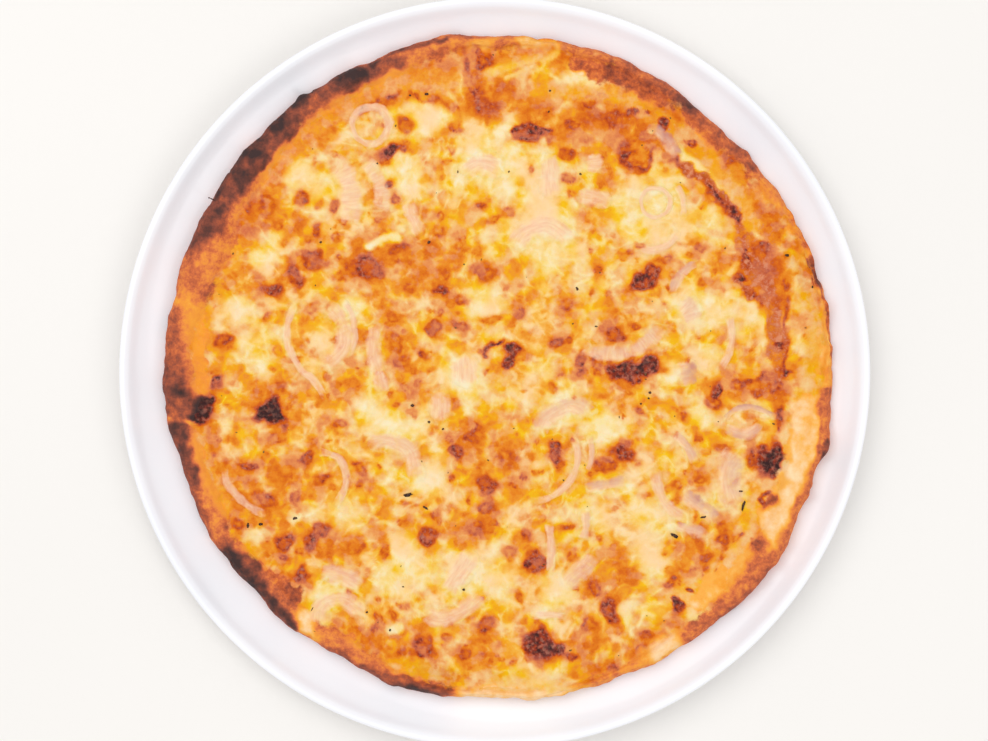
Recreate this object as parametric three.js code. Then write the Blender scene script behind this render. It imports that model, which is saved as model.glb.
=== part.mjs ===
// An onion pizza, 28 cm across, on a round white porcelain plate of 32 cm.
// Millimetres, +Z up. The plate's foot stands on z = 0 and its axis is x = y = 0.
// Angles run anticlockwise from +X, seen from above.
import * as THREE from "three";

// The plate: a foot ring, a flat well, and a short wall that rises to a rounded lip.
const PLATE_RADIUS = 160;
const PLATE_HEIGHT = 16.4;
const PLATE_TOP = 8;
const PLATE_BODY = 4.6;
const WELL_RADIUS = 140;
const FOOT_INNER_RADIUS = 88;
const FOOT_OUTER_RADIUS = 94;
const FOOT_DEPTH = 3;
const PLATE_SEGMENTS = 72;

// The dough: a thin base with an uneven baked rim, a little off the plate's axis.
const PIZZA_RADIUS = 141.8;
const PIZZA_CENTRE = [2, 1.9];
const DOUGH_BASE = 4;
const RIM_NARROWEST = 4;
const RIM_LOWEST = 6.2;
const RIM_RISE_PER_WIDTH = 0.33;
const RIM_FOOT_INSET = 3;
const RIM_FOOT_LIFT = 0.35;
const UNDERSIDE_FLAT_INSET = 15;
const CLIMB_WIDTH = 7;
const EDGE_RAGGEDNESS = 0.4;
const EDGE_SEED = 11;

// The rim's section, from its outer wall over the crown to where the cheese ends: each row is
// millimetres in from the outline, plus a share of the rim's width, and a share of its height.
const RIM_SECTION = [
  [0, 0, 0.38],
  [0.5, 0, 0.68],
  [0.8, 0.12, 0.9],
  [0, 0.45, 1],
  [0, 0.74, 0.88],
  [0, 1, 0.62],
];

// Each row swells or sinks the outline: angle, spread in degrees, millimetres.
const OUTLINE_SWELLS = [
  [45, 22, -1.8],
  [100, 6, 1.5],
  [125, 20, 0.6],
  [178, 10, 1.4],
  [208, 14, -0.9],
  [240, 7, -1.8],
  [267, 7, -1.6],
  [317, 12, 2],
  [345, 12, 0.9],
];

// Each row widens the bare rim beyond its narrowest: angle, spread in degrees, millimetres.
const RIM_SWELLS = [
  [45, 18, 4.5],
  [112, 16, 7.5],
  [140, 14, 9],
  [162, 14, 13],
  [186, 12, 9],
  [205, 12, 7],
  [225, 12, 8.5],
  [244, 10, 5],
  [306, 10, 5],
  [322, 10, 8],
  [342, 12, 12],
];

// The cheese: one melted layer that climbs the inside of the rim.
const CHEESE_DEPTH = 2.9;
const CHEESE_EDGE_DEPTH = 0.9;
const CHEESE_DOME = 0.8;
const CHEESE_SWELL = 0.3;
const CHEESE_SWELL_SEED = 5;
const CHEESE_SWELL_WAVES = 14;
const CHEESE_SWELL_SHORTEST = 15;
const CHEESE_SWELL_LONGEST = 38;
const CHEESE_RINGS = 28;
const SMALLEST_BLISTER = 6;

// Blisters that stand out of the cheese and the rim: x, y, radius, rise.
const BLISTERS = [
  [-124.8, -16, 5, 2],
  [-96, -17, 6.5, 2.4],
  [-116, 13.5, 4.5, 1.4],
  [-95, 36, 5.5, 1.6],
  [-85.5, 41, 5, 1.2],
  [-77.5, 48, 5.5, 1.6],
  [-54.5, 44.5, 7.5, 2],
  [-25.5, 19.5, 4.5, 1.2],
  [-23.5, 35, 4.8, 1.5],
  [-4, 43, 6, 1.3],
  [-44.5, 93.5, 5, 1.4],
  [-82.5, 75, 4.5, 1.2],
  [16, 103, 6, 1.8],
  [60, 92, 7, 1.8],
  [62, 38, 7, 2],
  [51.5, 16, 5.5, 1.4],
  [51, 1, 6, 2.2],
  [60, 0.5, 6.5, 2.2],
  [66, 4, 5, 2],
  [26.5, 13, 5.5, 1.4],
  [7.5, 9, 5, 1.5],
  [54, -34, 5.5, 1.8],
  [46, -39.5, 4.8, 1.4],
  [26.5, -34, 5, 1.3],
  [-15.5, -33, 4.8, 1.3],
  [-3.5, -47.5, 5.2, 1.5],
  [-4.5, -57.5, 4.6, 1.2],
  [-28, -71, 5.5, 1.6],
  [16.5, -81, 5.8, 1.8],
  [49, -101, 5.4, 1.4],
  [19, -116, 7, 2.2],
  [-30.5, -117, 5.2, 1.4],
  [78, -99, 4.8, 1.4],
  [118, -37, 7, 2.2],
  [115.5, -54, 5, 1.4],
  [94.5, -8, 4.6, 1.3],
  [106, 42, 5.5, 1.4],
  [-89, -74, 6, 1.4],
  [-77, -71, 6, 1.6],
  [-82, -86.5, 4.6, 1.3],
];

// The onion: slices and rings, each lying on the cheese along its own route.
const ONION_THICKNESS = 1.3;
const ONION_STEP = 3.6;
const ONION_FEWEST_STEPS = 5;
const ONION_MOST_STEPS = 13;
const ONION_TOP_INSET = 0.22;
const ONION_END_NARROWING = 0.45;

// Each row is a slice: name, width, then the points of its route.
const ONION_SLICES = [
  ["crescent_wide_left", 8.6, [-71, 90], [-65, 87], [-62, 80], [-61, 72], [-62, 60]],
  ["crescent_inner_left", 5, [-56, 91], [-51, 85], [-48.5, 79], [-48, 73], [-49, 67]],
  ["sliver_upper_left", 4.6, [-36.5, 74], [-36, 69], [-34, 64], [-30.5, 58]],
  ["arc_top", 6, [-13, 83], [-9.5, 87.5], [-3.5, 88.5], [4, 85.5]],
  ["leaf_top", 8, [22.5, 94], [23.5, 87], [24, 80], [25, 73.5]],
  ["strip_upper", 4.4, [34, 75], [41.5, 74.5], [50, 72.5]],
  ["patch_upper", 6, [42, 94], [42.5, 89], [42, 84]],
  ["arch_upper", 6, [8, 53], [13, 60], [20.5, 63.5], [27, 61], [32, 56], [35, 50]],
  ["arc_upper_right", 2.8, [77, 80.5], [80, 74], [80.5, 66]],
  ["oval_upper_right", 3.4, [78, 61], [74.5, 55], [67, 52], [60.5, 54]],
  ["strip_grey_top_right", 4, [70, 103], [75, 97], [78, 90.5]],
  ["big_ring_top", 4.4, [77, 36], [79, 41], [82.5, 45], [88, 46.5]],
  ["big_ring_left", 7.6, [79, 31], [83, 27], [85.5, 21]],
  ["big_ring_right", 3.2, [99.5, 26], [101, 14], [98.5, 6], [95, 0]],
  ["big_ring_bottom", 7.6, [81, 6], [82, 0], [84, -6]],
  ["arc_middle_right", 4.4, [34, 12], [44, 8.5], [54, 8.5], [62.5, 11.5], [73, 21]],
  ["half_ring_outer", 2.6, [97, -21.5], [100.5, -17], [106, -14.8], [112, -15.2], [121.5, -20]],
  ["half_ring_inner", 4.6, [113.5, -20.5], [111.5, -23.5], [107.5, -26], [103, -25.5]],
  ["broad_right", 7.4, [105, -33], [101, -38], [99.5, -44], [100.5, -51], [103.5, -58.5]],
  ["arc_lower_right", 3.2, [67.5, -40], [69, -47], [72, -54.5], [77, -59.5], [84, -62.5]],
  ["band_lower_right", 4.6, [79, -50.5], [84, -54], [89, -57.5], [95, -64]],
  ["arc_small_right", 3, [75.5, -25], [80, -29.5], [83.5, -34], [85.5, -39.5]],
  ["strip_lower_right", 3, [76, -64.5], [84, -67], [91, -69]],
  ["arch_middle", 5.4, [19, -28], [20.5, -21.5], [25, -17], [31.5, -14], [37, -15], [41.5, -19.5]],
  ["long_arc_middle", 3, [31, -24.5], [34, -29], [35.4, -35], [34.5, -41], [31, -47.5],
    [23, -53.3], [14, -55]],
  ["arc_middle_outer", 2.6, [39.8, -26], [41.2, -31.5], [41, -37.5], [39, -42.8]],
  ["strip_grey_middle", 3.8, [37, -50], [43, -48.4], [50, -46.9], [57, -46]],
  ["strip_lower_a", 3, [38.4, -57.5], [39, -65], [37.5, -72]],
  ["strip_lower_b", 3.6, [22.8, -63], [24, -72], [24, -80], [23.5, -87]],
  ["diagonal_lower", 5.4, [43, -77], [39, -82], [33.5, -87.5], [30, -92]],
  ["diagonal_wide", 8.4, [-9, -75], [-13, -82], [-17.5, -89], [-21, -95]],
  ["arc_bottom", 5.2, [-5, -92.5], [-10, -98.5], [-16.5, -103], [-24, -105], [-32, -102]],
  ["strip_bottom", 3.2, [15, -103.5], [23, -103], [30.5, -103.7]],
  ["arc_peach_left", 5.4, [-56.5, -31.5], [-49, -29], [-41.5, -30], [-35.5, -35], [-33, -48]],
  ["thin_ring_left", 3.2, [-77, -33.5], [-70.5, -34.5], [-65.5, -37.5], [-63.2, -43.5],
    [-64, -49.5], [-68.5, -58]],
  ["arc_far_left", 3.4, [-115.5, -39], [-114, -47], [-109, -53], [-103, -58], [-96, -61]],
  ["band_lower_left", 5.6, [-76, -85], [-67.5, -86], [-61, -88], [-55.5, -92]],
  ["hook_lower_left", 5, [-76, -108], [-76, -102], [-71.5, -97.6], [-64.5, -96.6], [-57, -104]],
  ["strand_left", 3.1, [-82.5, 32.5], [-87.6, 23], [-88, 12], [-82.5, 1.5], [-76.5, -3.8], [-70.5, -13.5]],
  ["ring_left_inner", 5.2, [-73, 27.5], [-68, 24], [-65.6, 18], [-66, 11], [-70, 6], [-77, 4]],
  ["ring_left_outer", 2.6, [-66.5, 32], [-61.5, 26.5], [-59.8, 19], [-60, 12], [-63, 5.5]],
  ["strip_left", 5.2, [-51, 22.5], [-51.5, 14], [-51.3, 6], [-49, -3], [-47.5, -11]],
  ["lump_middle", 10.4, [-20, 1], [-13, 1], [-6, 1.5]],
  ["lump_lower", 10.4, [-28.5, -14], [-23, -14.3], [-17.5, -14]],
];

// Each row is a whole ring: name, width, centre, radius of its middle line.
const ONION_RINGS = [
  ["ring_top_left", 4.2, [-53, 105], 7.8],
  ["ring_upper_right", 3, [68.5, 72.5], 6.2],
];

// Pieces that touch keep this gap; a slice keeps a little more above the bumpy cheese.
const GAP = 0.3;
const ONION_GAP = 0.42;

const DOUGH_BOTTOM = PLATE_TOP + GAP;
const DOUGH_TOP = DOUGH_BOTTOM + DOUGH_BASE;
const CHEESE_BOTTOM = DOUGH_TOP + GAP;
const PIZZA_SEGMENTS = 6 * CHEESE_RINGS;

const PORCELAIN = new THREE.MeshStandardMaterial({ color: "#f4f0f1", roughness: 0.18, metalness: 0 });
const BAKED_DOUGH = new THREE.MeshStandardMaterial({ color: "#a8602c", roughness: 0.75, metalness: 0 });
const BAKED_CHEESE = new THREE.MeshStandardMaterial({ color: "#f4bd5c", roughness: 0.42, metalness: 0 });
const COOKED_ONION = new THREE.MeshStandardMaterial({ color: "#f6d6b8", roughness: 0.35, metalness: 0 });

// Draws numbers from 0 to 1 that are the same on every run.
function drawsFrom(seed) {
  let state = seed;
  return () => {
    state = (state * 1664525 + 1013904223) % 4294967296;
    return state / 4294967296;
  };
}

// The sum of the rows' bell curves at an angle: each row is angle, spread, amount.
function swellAt(rows, degrees) {
  return rows.reduce((sum, [angle, spread, amount]) => {
    const turn = ((((degrees - angle) % 360) + 540) % 360) - 180;
    return sum + amount * Math.exp(-((turn / spread) ** 2));
  }, 0);
}

// Level waves in directions all round, added up: a gentle unevenness of about one millimetre.
function unevenness(seed, count, shortest, longest) {
  const draw = drawsFrom(seed);
  const waves = Array.from({ length: count }, (_, i) => {
    const direction = (Math.PI * (i + draw())) / count;
    const frequency = (2 * Math.PI) / (shortest + (longest - shortest) * draw());
    const phase = 2 * Math.PI * draw();
    return { x: frequency * Math.cos(direction), y: frequency * Math.sin(direction), phase };
  });
  return (x, y) =>
    waves.reduce((sum, wave) => sum + Math.cos(wave.x * x + wave.y * y + wave.phase), 0) /
    Math.sqrt(count / 2);
}

const drawEdge = drawsFrom(EDGE_SEED);
const raggedness = Array.from({ length: PIZZA_SEGMENTS }, () => EDGE_RAGGEDNESS * (2 * drawEdge() - 1));
const cheeseSwell = unevenness(
  CHEESE_SWELL_SEED,
  CHEESE_SWELL_WAVES,
  CHEESE_SWELL_SHORTEST,
  CHEESE_SWELL_LONGEST,
);

// The pizza's own measures at a segment number: outline, bare rim and rim height.
function outlineRadius(segment) {
  const swell = swellAt(OUTLINE_SWELLS, (360 * segment) / PIZZA_SEGMENTS);
  return PIZZA_RADIUS + swell + raggedness[Math.floor(segment) % PIZZA_SEGMENTS];
}

function rimWidth(segment) {
  return RIM_NARROWEST + swellAt(RIM_SWELLS, (360 * segment) / PIZZA_SEGMENTS);
}

function rimHeight(segment) {
  return RIM_LOWEST + RIM_RISE_PER_WIDTH * rimWidth(segment);
}

function cheeseRadius(segment) {
  return outlineRadius(segment) - rimWidth(segment);
}

// The height of the dough where the cheese ends, on the inside of the rim.
function climbHeight(segment) {
  const [, , heightShare] = RIM_SECTION.at(-1);
  return DOUGH_BOTTOM + heightShare * rimHeight(segment);
}

// How far the blisters lift a point; a blister too small for the facets is drawn at their size.
function blisterLift(x, y) {
  return BLISTERS.reduce((lift, [centreX, centreY, radius, rise]) => {
    const share = Math.hypot(x - centreX, y - centreY) / Math.max(radius, SMALLEST_BLISTER);
    return share < 1 ? lift + rise * (1 - share * share) ** 2 : lift;
  }, 0);
}

// A point of the pizza from a segment number, a radius and a height.
function pizzaPoint(segment, radius, height) {
  const angle = (2 * Math.PI * segment) / PIZZA_SEGMENTS;
  const x = PIZZA_CENTRE[0] + radius * Math.cos(angle);
  const y = PIZZA_CENTRE[1] + radius * Math.sin(angle);
  return [x, y, height];
}

// Quads between two closed rings of vertex numbers; the first ring is the lower or the outer one.
function bandBetween(first, second, triangles) {
  first.forEach((a, i) => {
    const next = (i + 1) % first.length;
    triangles.push([a, first[next], second[next]], [a, second[next], second[i]]);
  });
}

// Triangles from a ring to one vertex, with the ring running anticlockwise seen from outside.
function fanTo(centre, ring, triangles) {
  ring.forEach((a, i) => triangles.push([a, ring[(i + 1) % ring.length], centre]));
}

function meshOf(name, points, triangles, material) {
  const geometry = new THREE.BufferGeometry();
  geometry.setAttribute("position", new THREE.Float32BufferAttribute(points.flat(), 3));
  geometry.setIndex(triangles.flat());
  geometry.computeVertexNormals();
  const mesh = new THREE.Mesh(geometry, material);
  mesh.name = name;
  return mesh;
}

// The plate's half section, from the middle underneath round the lip to the middle on top.
function plateProfile() {
  const under = PLATE_TOP - PLATE_BODY;
  return [
    [0, FOOT_DEPTH],
    [FOOT_INNER_RADIUS - 2, FOOT_DEPTH],
    [FOOT_INNER_RADIUS, 0],
    [FOOT_OUTER_RADIUS, 0],
    [FOOT_OUTER_RADIUS + 2.5, under],
    [WELL_RADIUS - 2, under],
    [WELL_RADIUS + 10, under + 2.6],
    [PLATE_RADIUS - 2.6, PLATE_HEIGHT - 5.2],
    [PLATE_RADIUS, PLATE_HEIGHT - 1.6],
    [PLATE_RADIUS - 0.8, PLATE_HEIGHT - 0.3],
    [PLATE_RADIUS - 2, PLATE_HEIGHT],
    [PLATE_RADIUS - 3.6, PLATE_HEIGHT - 1],
    [PLATE_RADIUS - 7.5, PLATE_TOP + 3.6],
    [PLATE_RADIUS - 13, PLATE_TOP + 1],
    [WELL_RADIUS, PLATE_TOP],
    [0, PLATE_TOP],
  ].map(([radius, height]) => new THREE.Vector2(radius, height));
}

function makePlate() {
  const geometry = new THREE.LatheGeometry(plateProfile(), PLATE_SEGMENTS);
  geometry.rotateX(Math.PI / 2);
  const plate = new THREE.Mesh(geometry, PORCELAIN);
  plate.name = "plate";
  return plate;
}

// The dough's section at a segment: radius and height, from underneath, over the rim, to the base.
function doughSection(segment) {
  const edge = outlineRadius(segment);
  const width = rimWidth(segment);
  const height = rimHeight(segment);
  const isBare = (level) => level > DOUGH_BOTTOM + height / 2;
  const section = [
    [edge - UNDERSIDE_FLAT_INSET, DOUGH_BOTTOM],
    [edge - RIM_FOOT_INSET, DOUGH_BOTTOM + RIM_FOOT_LIFT],
    ...RIM_SECTION.map(([inset, ofWidth, ofHeight]) => [
      edge - inset - ofWidth * width,
      DOUGH_BOTTOM + ofHeight * height,
    ]),
    [edge - width - CLIMB_WIDTH, DOUGH_TOP],
  ];
  return section.map(([radius, level]) => {
    const [x, y] = pizzaPoint(segment, radius, level);
    const isUnderCheese = radius <= edge - width;
    return [x, y, isBare(level) && !isUnderCheese ? level + blisterLift(x, y) : level];
  });
}

function makeDough() {
  const sections = Array.from({ length: PIZZA_SEGMENTS }, (_, segment) => doughSection(segment));
  const ringCount = sections[0].length;
  const points = sections.flat();
  const ring = (number) => sections.map((_, segment) => segment * ringCount + number);
  const triangles = [];
  for (let number = 0; number + 1 < ringCount; number += 1) {
    bandBetween(ring(number), ring(number + 1), triangles);
  }
  points.push(pizzaPoint(0, 0, DOUGH_BOTTOM), pizzaPoint(0, 0, DOUGH_TOP));
  fanTo(points.length - 2, ring(0).reverse(), triangles);
  fanTo(points.length - 1, ring(ringCount - 1), triangles);
  return meshOf("crust", points, triangles, BAKED_DOUGH);
}

// The cheese's upper surface at a share of its radius: flat swells, blisters and a climbing edge.
function cheeseSurface(share, segment) {
  const edge = cheeseRadius(segment);
  const [x, y] = pizzaPoint(segment, edge * share, 0);
  const fromEdge = edge * (1 - share);
  const climb = Math.max(0, 1 - fromEdge / CLIMB_WIDTH) ** 1.5;
  const flat = CHEESE_BOTTOM + CHEESE_DEPTH + CHEESE_DOME * (1 - share * share);
  const uneven = CHEESE_SWELL * cheeseSwell(x, y) + blisterLift(x, y);
  const rim = climbHeight(segment) + GAP + CHEESE_EDGE_DEPTH;
  const height = (1 - climb) * (flat + uneven) + climb * rim;
  return [x, y, Math.max(height, share < 1 ? CHEESE_BOTTOM + CHEESE_EDGE_DEPTH : rim)];
}

// The number of the first point in ring k of a disc whose rings hold 1, 6, 12, 18 ... points.
function ringStart(k) {
  return k === 0 ? 0 : 1 + 3 * k * (k - 1);
}

// A disc of such rings, whose triangles are all about one size.
function discTriangles(rings) {
  const triangles = [];
  for (let k = 1; k <= rings; k += 1) {
    for (let side = 0; side < 6; side += 1) {
      for (let i = 0; i < k; i += 1) {
        const inner = (step) => ringStart(k - 1) + ((side * (k - 1) + step) % Math.max(1, 6 * (k - 1)));
        const outer = (step) => ringStart(k) + ((side * k + step) % (6 * k));
        triangles.push([outer(i), outer(i + 1), inner(i)]);
        if (i + 1 < k) triangles.push([inner(i), outer(i + 1), inner(i + 1)]);
      }
    }
  }
  return triangles;
}

function makeCheese() {
  const points = [cheeseSurface(0, 0)];
  for (let k = 1; k <= CHEESE_RINGS; k += 1) {
    for (let i = 0; i < 6 * k; i += 1) {
      points.push(cheeseSurface(k / CHEESE_RINGS, (i * CHEESE_RINGS) / k));
    }
  }
  const triangles = discTriangles(CHEESE_RINGS);
  const topRing = Array.from({ length: PIZZA_SEGMENTS }, (_, i) => ringStart(CHEESE_RINGS) + i);
  const underRing = (inset, heightAt) =>
    topRing.map((_, segment) => {
      points.push(pizzaPoint(segment, cheeseRadius(segment) - inset, heightAt(segment) + GAP));
      return points.length - 1;
    });
  const edgeRing = underRing(0, climbHeight);
  const baseRing = underRing(CLIMB_WIDTH, () => DOUGH_TOP);
  bandBetween(edgeRing, topRing, triangles);
  bandBetween(baseRing, edgeRing, triangles);
  points.push(pizzaPoint(0, 0, CHEESE_BOTTOM));
  fanTo(points.length - 1, baseRing.reverse(), triangles);
  return meshOf("cheese", points, triangles, BAKED_CHEESE);
}

// The facets of the given meshes that face up, as corner triples.
function upwardFacets(meshes) {
  return meshes.flatMap(({ geometry }) => {
    const { position } = geometry.attributes;
    const corner = (i) => new THREE.Vector3().fromBufferAttribute(position, geometry.index.array[i]);
    const facets = [];
    for (let i = 0; i < geometry.index.count; i += 3) {
      const facet = new THREE.Triangle(corner(i), corner(i + 1), corner(i + 2));
      if (facet.getNormal(new THREE.Vector3()).z > 0.05) facets.push(facet);
    }
    return facets;
  });
}

// A function for the height of the highest facet over a point.
function heightOver(facets) {
  const boxes = facets.map((facet) => new THREE.Box3().setFromPoints([facet.a, facet.b, facet.c]));
  const level = ({ a, b, c }, x, y) => {
    const area = (b.x - a.x) * (c.y - a.y) - (c.x - a.x) * (b.y - a.y);
    const toB = ((x - a.x) * (c.y - a.y) - (c.x - a.x) * (y - a.y)) / area;
    const toC = ((b.x - a.x) * (y - a.y) - (x - a.x) * (b.y - a.y)) / area;
    return Math.min(toB, toC, 1 - toB - toC) < -1e-6 ? 0 : a.z + toB * (b.z - a.z) + toC * (c.z - a.z);
  };
  return (x, y) =>
    boxes.reduce((highest, { min, max }, i) => {
      const isNear = x >= min.x && x <= max.x && y >= min.y && y <= max.y;
      return isNear ? Math.max(highest, level(facets[i], x, y)) : highest;
    }, 0);
}

// The highest surface under the piece of a slice between two of its sections.
function highestUnder(from, to, heightAt) {
  const along = [0, 0.25, 0.5, 0.75, 1];
  const across = [-1, -0.6, -0.2, 0.2, 0.6, 1];
  const heights = along.flatMap((t) =>
    across.map((u) => {
      const x = from.x + (to.x - from.x) * t + u * (from.sideX + (to.sideX - from.sideX) * t);
      const y = from.y + (to.y - from.y) * t + u * (from.sideY + (to.sideY - from.sideY) * t);
      return heightAt(x, y);
    }),
  );
  return Math.max(...heights);
}

// A slice or ring of onion: a flat strip along a route, lying on the cheese, with a bevelled top.
function makeOnion(name, curve, isRing, width, heightAt) {
  const wanted = Math.round(curve.getLength() / ONION_STEP);
  const steps = Math.min(Math.max(wanted, ONION_FEWEST_STEPS), ONION_MOST_STEPS);
  const count = isRing ? steps : steps + 1;
  const sections = Array.from({ length: count }, (_, i) => {
    const share = i / steps;
    const place = curve.getPointAt(share);
    const along = curve.getTangentAt(share);
    const narrowing = isRing ? 1 : 1 - ONION_END_NARROWING * (2 * share - 1) ** 4;
    const half = (width / 2) * narrowing;
    return { x: place.x, y: place.y, sideX: -along.y * half, sideY: along.x * half };
  });
  const spans = sections.map((section, i) => highestUnder(section, sections[(i + 1) % count], heightAt));
  const points = sections.flatMap(({ x, y, sideX, sideY }, i) => {
    const isLast = !isRing && i === count - 1;
    const before = !isRing && i === 0 ? 0 : spans[(i + count - 1) % count];
    const floor = Math.max(before, isLast ? 0 : spans[i]) + ONION_GAP;
    const top = 1 - ONION_TOP_INSET;
    return [
      [x - sideX, y - sideY, floor],
      [x + sideX, y + sideY, floor],
      [x + top * sideX, y + top * sideY, floor + ONION_THICKNESS],
      [x - top * sideX, y - top * sideY, floor + ONION_THICKNESS],
    ];
  });
  const triangles = [];
  const corner = (section, number) => 4 * (section % count) + (number % 4);
  for (let i = 0; i < (isRing ? count : count - 1); i += 1) {
    for (let side = 0; side < 4; side += 1) {
      const [a, b] = [corner(i, side), corner(i, side + 1)];
      const [c, d] = [corner(i + 1, side + 1), corner(i + 1, side)];
      triangles.push([a, b, c], [a, c, d]);
    }
  }
  if (!isRing) {
    const last = 4 * (count - 1);
    triangles.push([0, 2, 1], [0, 3, 2], [last, last + 1, last + 2], [last, last + 2, last + 3]);
  }
  return meshOf(`onion_${name}`, points, triangles, COOKED_ONION);
}

function routeCurve(route) {
  return new THREE.CatmullRomCurve3(route.map(([x, y]) => new THREE.Vector3(x, y, 0)));
}

function ringCurve([centreX, centreY], radius) {
  return new THREE.EllipseCurve(centreX, centreY, radius, radius);
}

const pizza = new THREE.Group();
const plate = makePlate();
const crust = makeDough();
const cheese = makeCheese();
pizza.add(plate, crust, cheese);

const heightAt = heightOver(upwardFacets([crust, cheese]));
for (const [name, width, ...route] of ONION_SLICES) {
  pizza.add(makeOnion(name, routeCurve(route), false, width, heightAt));
}
for (const [name, width, centre, radius] of ONION_RINGS) {
  pizza.add(makeOnion(name, ringCurve(centre, radius), true, width, heightAt));
}

export default pizza;
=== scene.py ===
import bpy
import numpy as np
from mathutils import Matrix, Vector


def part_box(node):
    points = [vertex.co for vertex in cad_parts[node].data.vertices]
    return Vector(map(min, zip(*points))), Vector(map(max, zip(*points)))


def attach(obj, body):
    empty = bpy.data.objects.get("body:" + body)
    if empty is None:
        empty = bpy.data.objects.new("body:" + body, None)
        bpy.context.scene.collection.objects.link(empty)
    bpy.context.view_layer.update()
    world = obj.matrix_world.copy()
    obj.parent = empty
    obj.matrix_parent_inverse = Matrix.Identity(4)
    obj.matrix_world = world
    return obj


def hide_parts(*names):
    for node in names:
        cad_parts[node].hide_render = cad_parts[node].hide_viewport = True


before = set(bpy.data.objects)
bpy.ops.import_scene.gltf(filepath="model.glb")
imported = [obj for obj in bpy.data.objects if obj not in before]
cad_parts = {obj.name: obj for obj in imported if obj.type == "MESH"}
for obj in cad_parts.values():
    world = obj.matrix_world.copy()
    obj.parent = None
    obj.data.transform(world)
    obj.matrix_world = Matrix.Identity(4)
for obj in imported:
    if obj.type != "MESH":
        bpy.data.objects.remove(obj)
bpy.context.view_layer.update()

# The plate: one round piece of white porcelain with a flat well, a short wall and a rounded lip.
# It was pressed, fired, dipped in clear glaze and fired again on its foot ring, whose face is bare.
# All sizes are in millimetres and become metres when a mesh is made.
MM = 0.001
PLATE_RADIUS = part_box("plate")[1].x / MM
PLATE_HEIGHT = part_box("plate")[1].z / MM
PLATE_TOP = 8.0
PLATE_BODY = 4.6
WELL_RADIUS = 140.0
FOOT_INNER, FOOT_OUTER, FOOT_DEPTH = 88.0, 94.0, 3.0
FOOT_ROUNDING, WALL_ROUNDING = 0.8, 8.0
PLATE_COLUMNS = 256
PORCELAIN_WHITE, PORCELAIN_COOL, BARE_CLAY = "FAFAFE", "F5F6FB", "DDD3C6"


def linear(colour):
    """An sRGB hex colour as linear RGBA: c / 12.92 up to 0.04045, else ((c + 0.055) / 1.055)^2.4."""
    srgb = np.array([int(colour[i:i + 2], 16) for i in (0, 2, 4)]) / 255
    light = np.where(srgb <= 0.04045, srgb / 12.92, ((srgb + 0.055) / 1.055) ** 2.4)
    return (*light.tolist(), 1.0)


def add(tree, kind, inputs=None, stops=(), **settings):
    """A shader node with its settings, its ramp's stops and its inputs: nodes and sockets are linked,
    hex colours made linear, and numbers set."""
    made = tree.nodes.new("ShaderNode" + kind)
    for name, value in settings.items():
        setattr(made, name, value)
    for index, (place, colour) in enumerate(stops):
        elements = made.color_ramp.elements
        stop = elements[index] if index < 2 else elements.new(place)
        stop.position = place
        stop.color = linear(colour)
    for name, value in (inputs or {}).items():
        if isinstance(value, bpy.types.Node):
            value = value.outputs[0]
        if isinstance(value, bpy.types.NodeSocket):
            tree.links.new(value, made.inputs[name])
        else:
            made.inputs[name].default_value = linear(value) if isinstance(value, str) else value
    return made


def new_material(name, finish):
    """A material whose surface is a Principled shader; finish gets its node tree and gives its inputs."""
    material = bpy.data.materials.new(name)
    material.use_nodes = True
    tree = material.node_tree
    tree.nodes.clear()
    surface = add(tree, "BsdfPrincipled", finish(tree))
    add(tree, "OutputMaterial", {"Surface": surface})
    return material


def make_piece(name, points, faces, material, **marks):
    """A smooth mesh from points in mm and arrays of corner numbers, with a number at each point for
    each mark, riding on the body."""
    mesh = bpy.data.meshes.new(name)
    corners = [row for block in faces for row in block.tolist()]
    mesh.from_pydata((points.reshape(-1, 3) * MM).tolist(), [], corners)
    for mark, values in marks.items():
        layer = mesh.attributes.new(mark, "FLOAT", "POINT")
        layer.data.foreach_set("value", values.ravel().astype(np.float32))
    mesh.shade_smooth()
    mesh.materials.append(material)
    piece = bpy.data.objects.new(name, mesh)
    bpy.context.scene.collection.objects.link(piece)
    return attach(piece, "root")


def ring_faces(rows, columns, first=0):
    """Quads between neighbouring rows of a grid whose last column joins its first: corner (i, j) is
    number first + i * columns + j, and a quad runs along the columns before it steps a row on."""
    i, j = np.meshgrid(np.arange(rows - 1), np.arange(columns), indexing="ij")
    a, b = first + i * columns + j, first + i * columns + (j + 1) % columns
    return np.stack([a, b, b + columns, a + columns], -1).reshape(-1, 4)


def cap_faces(ring, middle, last):
    """Triangles from the ring's corner numbers to a middle corner; last turns them round."""
    fan = np.stack([ring, np.roll(ring, -1), np.full(len(ring), middle)], -1)
    return fan if last else fan[:, [1, 0, 2]]


def rounded(profile, radii, steps):
    """A line of points with each inner corner replaced by a curve: from a cut c before the corner P
    to c past it, c = min(radius, half of either side), as (1-t)^2 A + 2t(1-t) P + t^2 B."""
    profile, radii = np.asarray(profile, float), np.asarray(radii)[:, None]
    before, corner, after = profile[:-2], profile[1:-1], profile[2:]
    back, on = before - corner, after - corner
    back_length = np.linalg.norm(back, axis=1, keepdims=True)
    on_length = np.linalg.norm(on, axis=1, keepdims=True)
    cut = np.minimum(radii, np.minimum(back_length, on_length) / 2)
    start, end = corner + back / back_length * cut, corner + on / on_length * cut
    t = np.linspace(0, 1, steps)[:, None, None]
    curve = (1 - t) ** 2 * start + 2 * t * (1 - t) * corner + t ** 2 * end
    return np.concatenate([profile[:1], curve.transpose(1, 0, 2).reshape(-1, 2), profile[-1:]])


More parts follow.
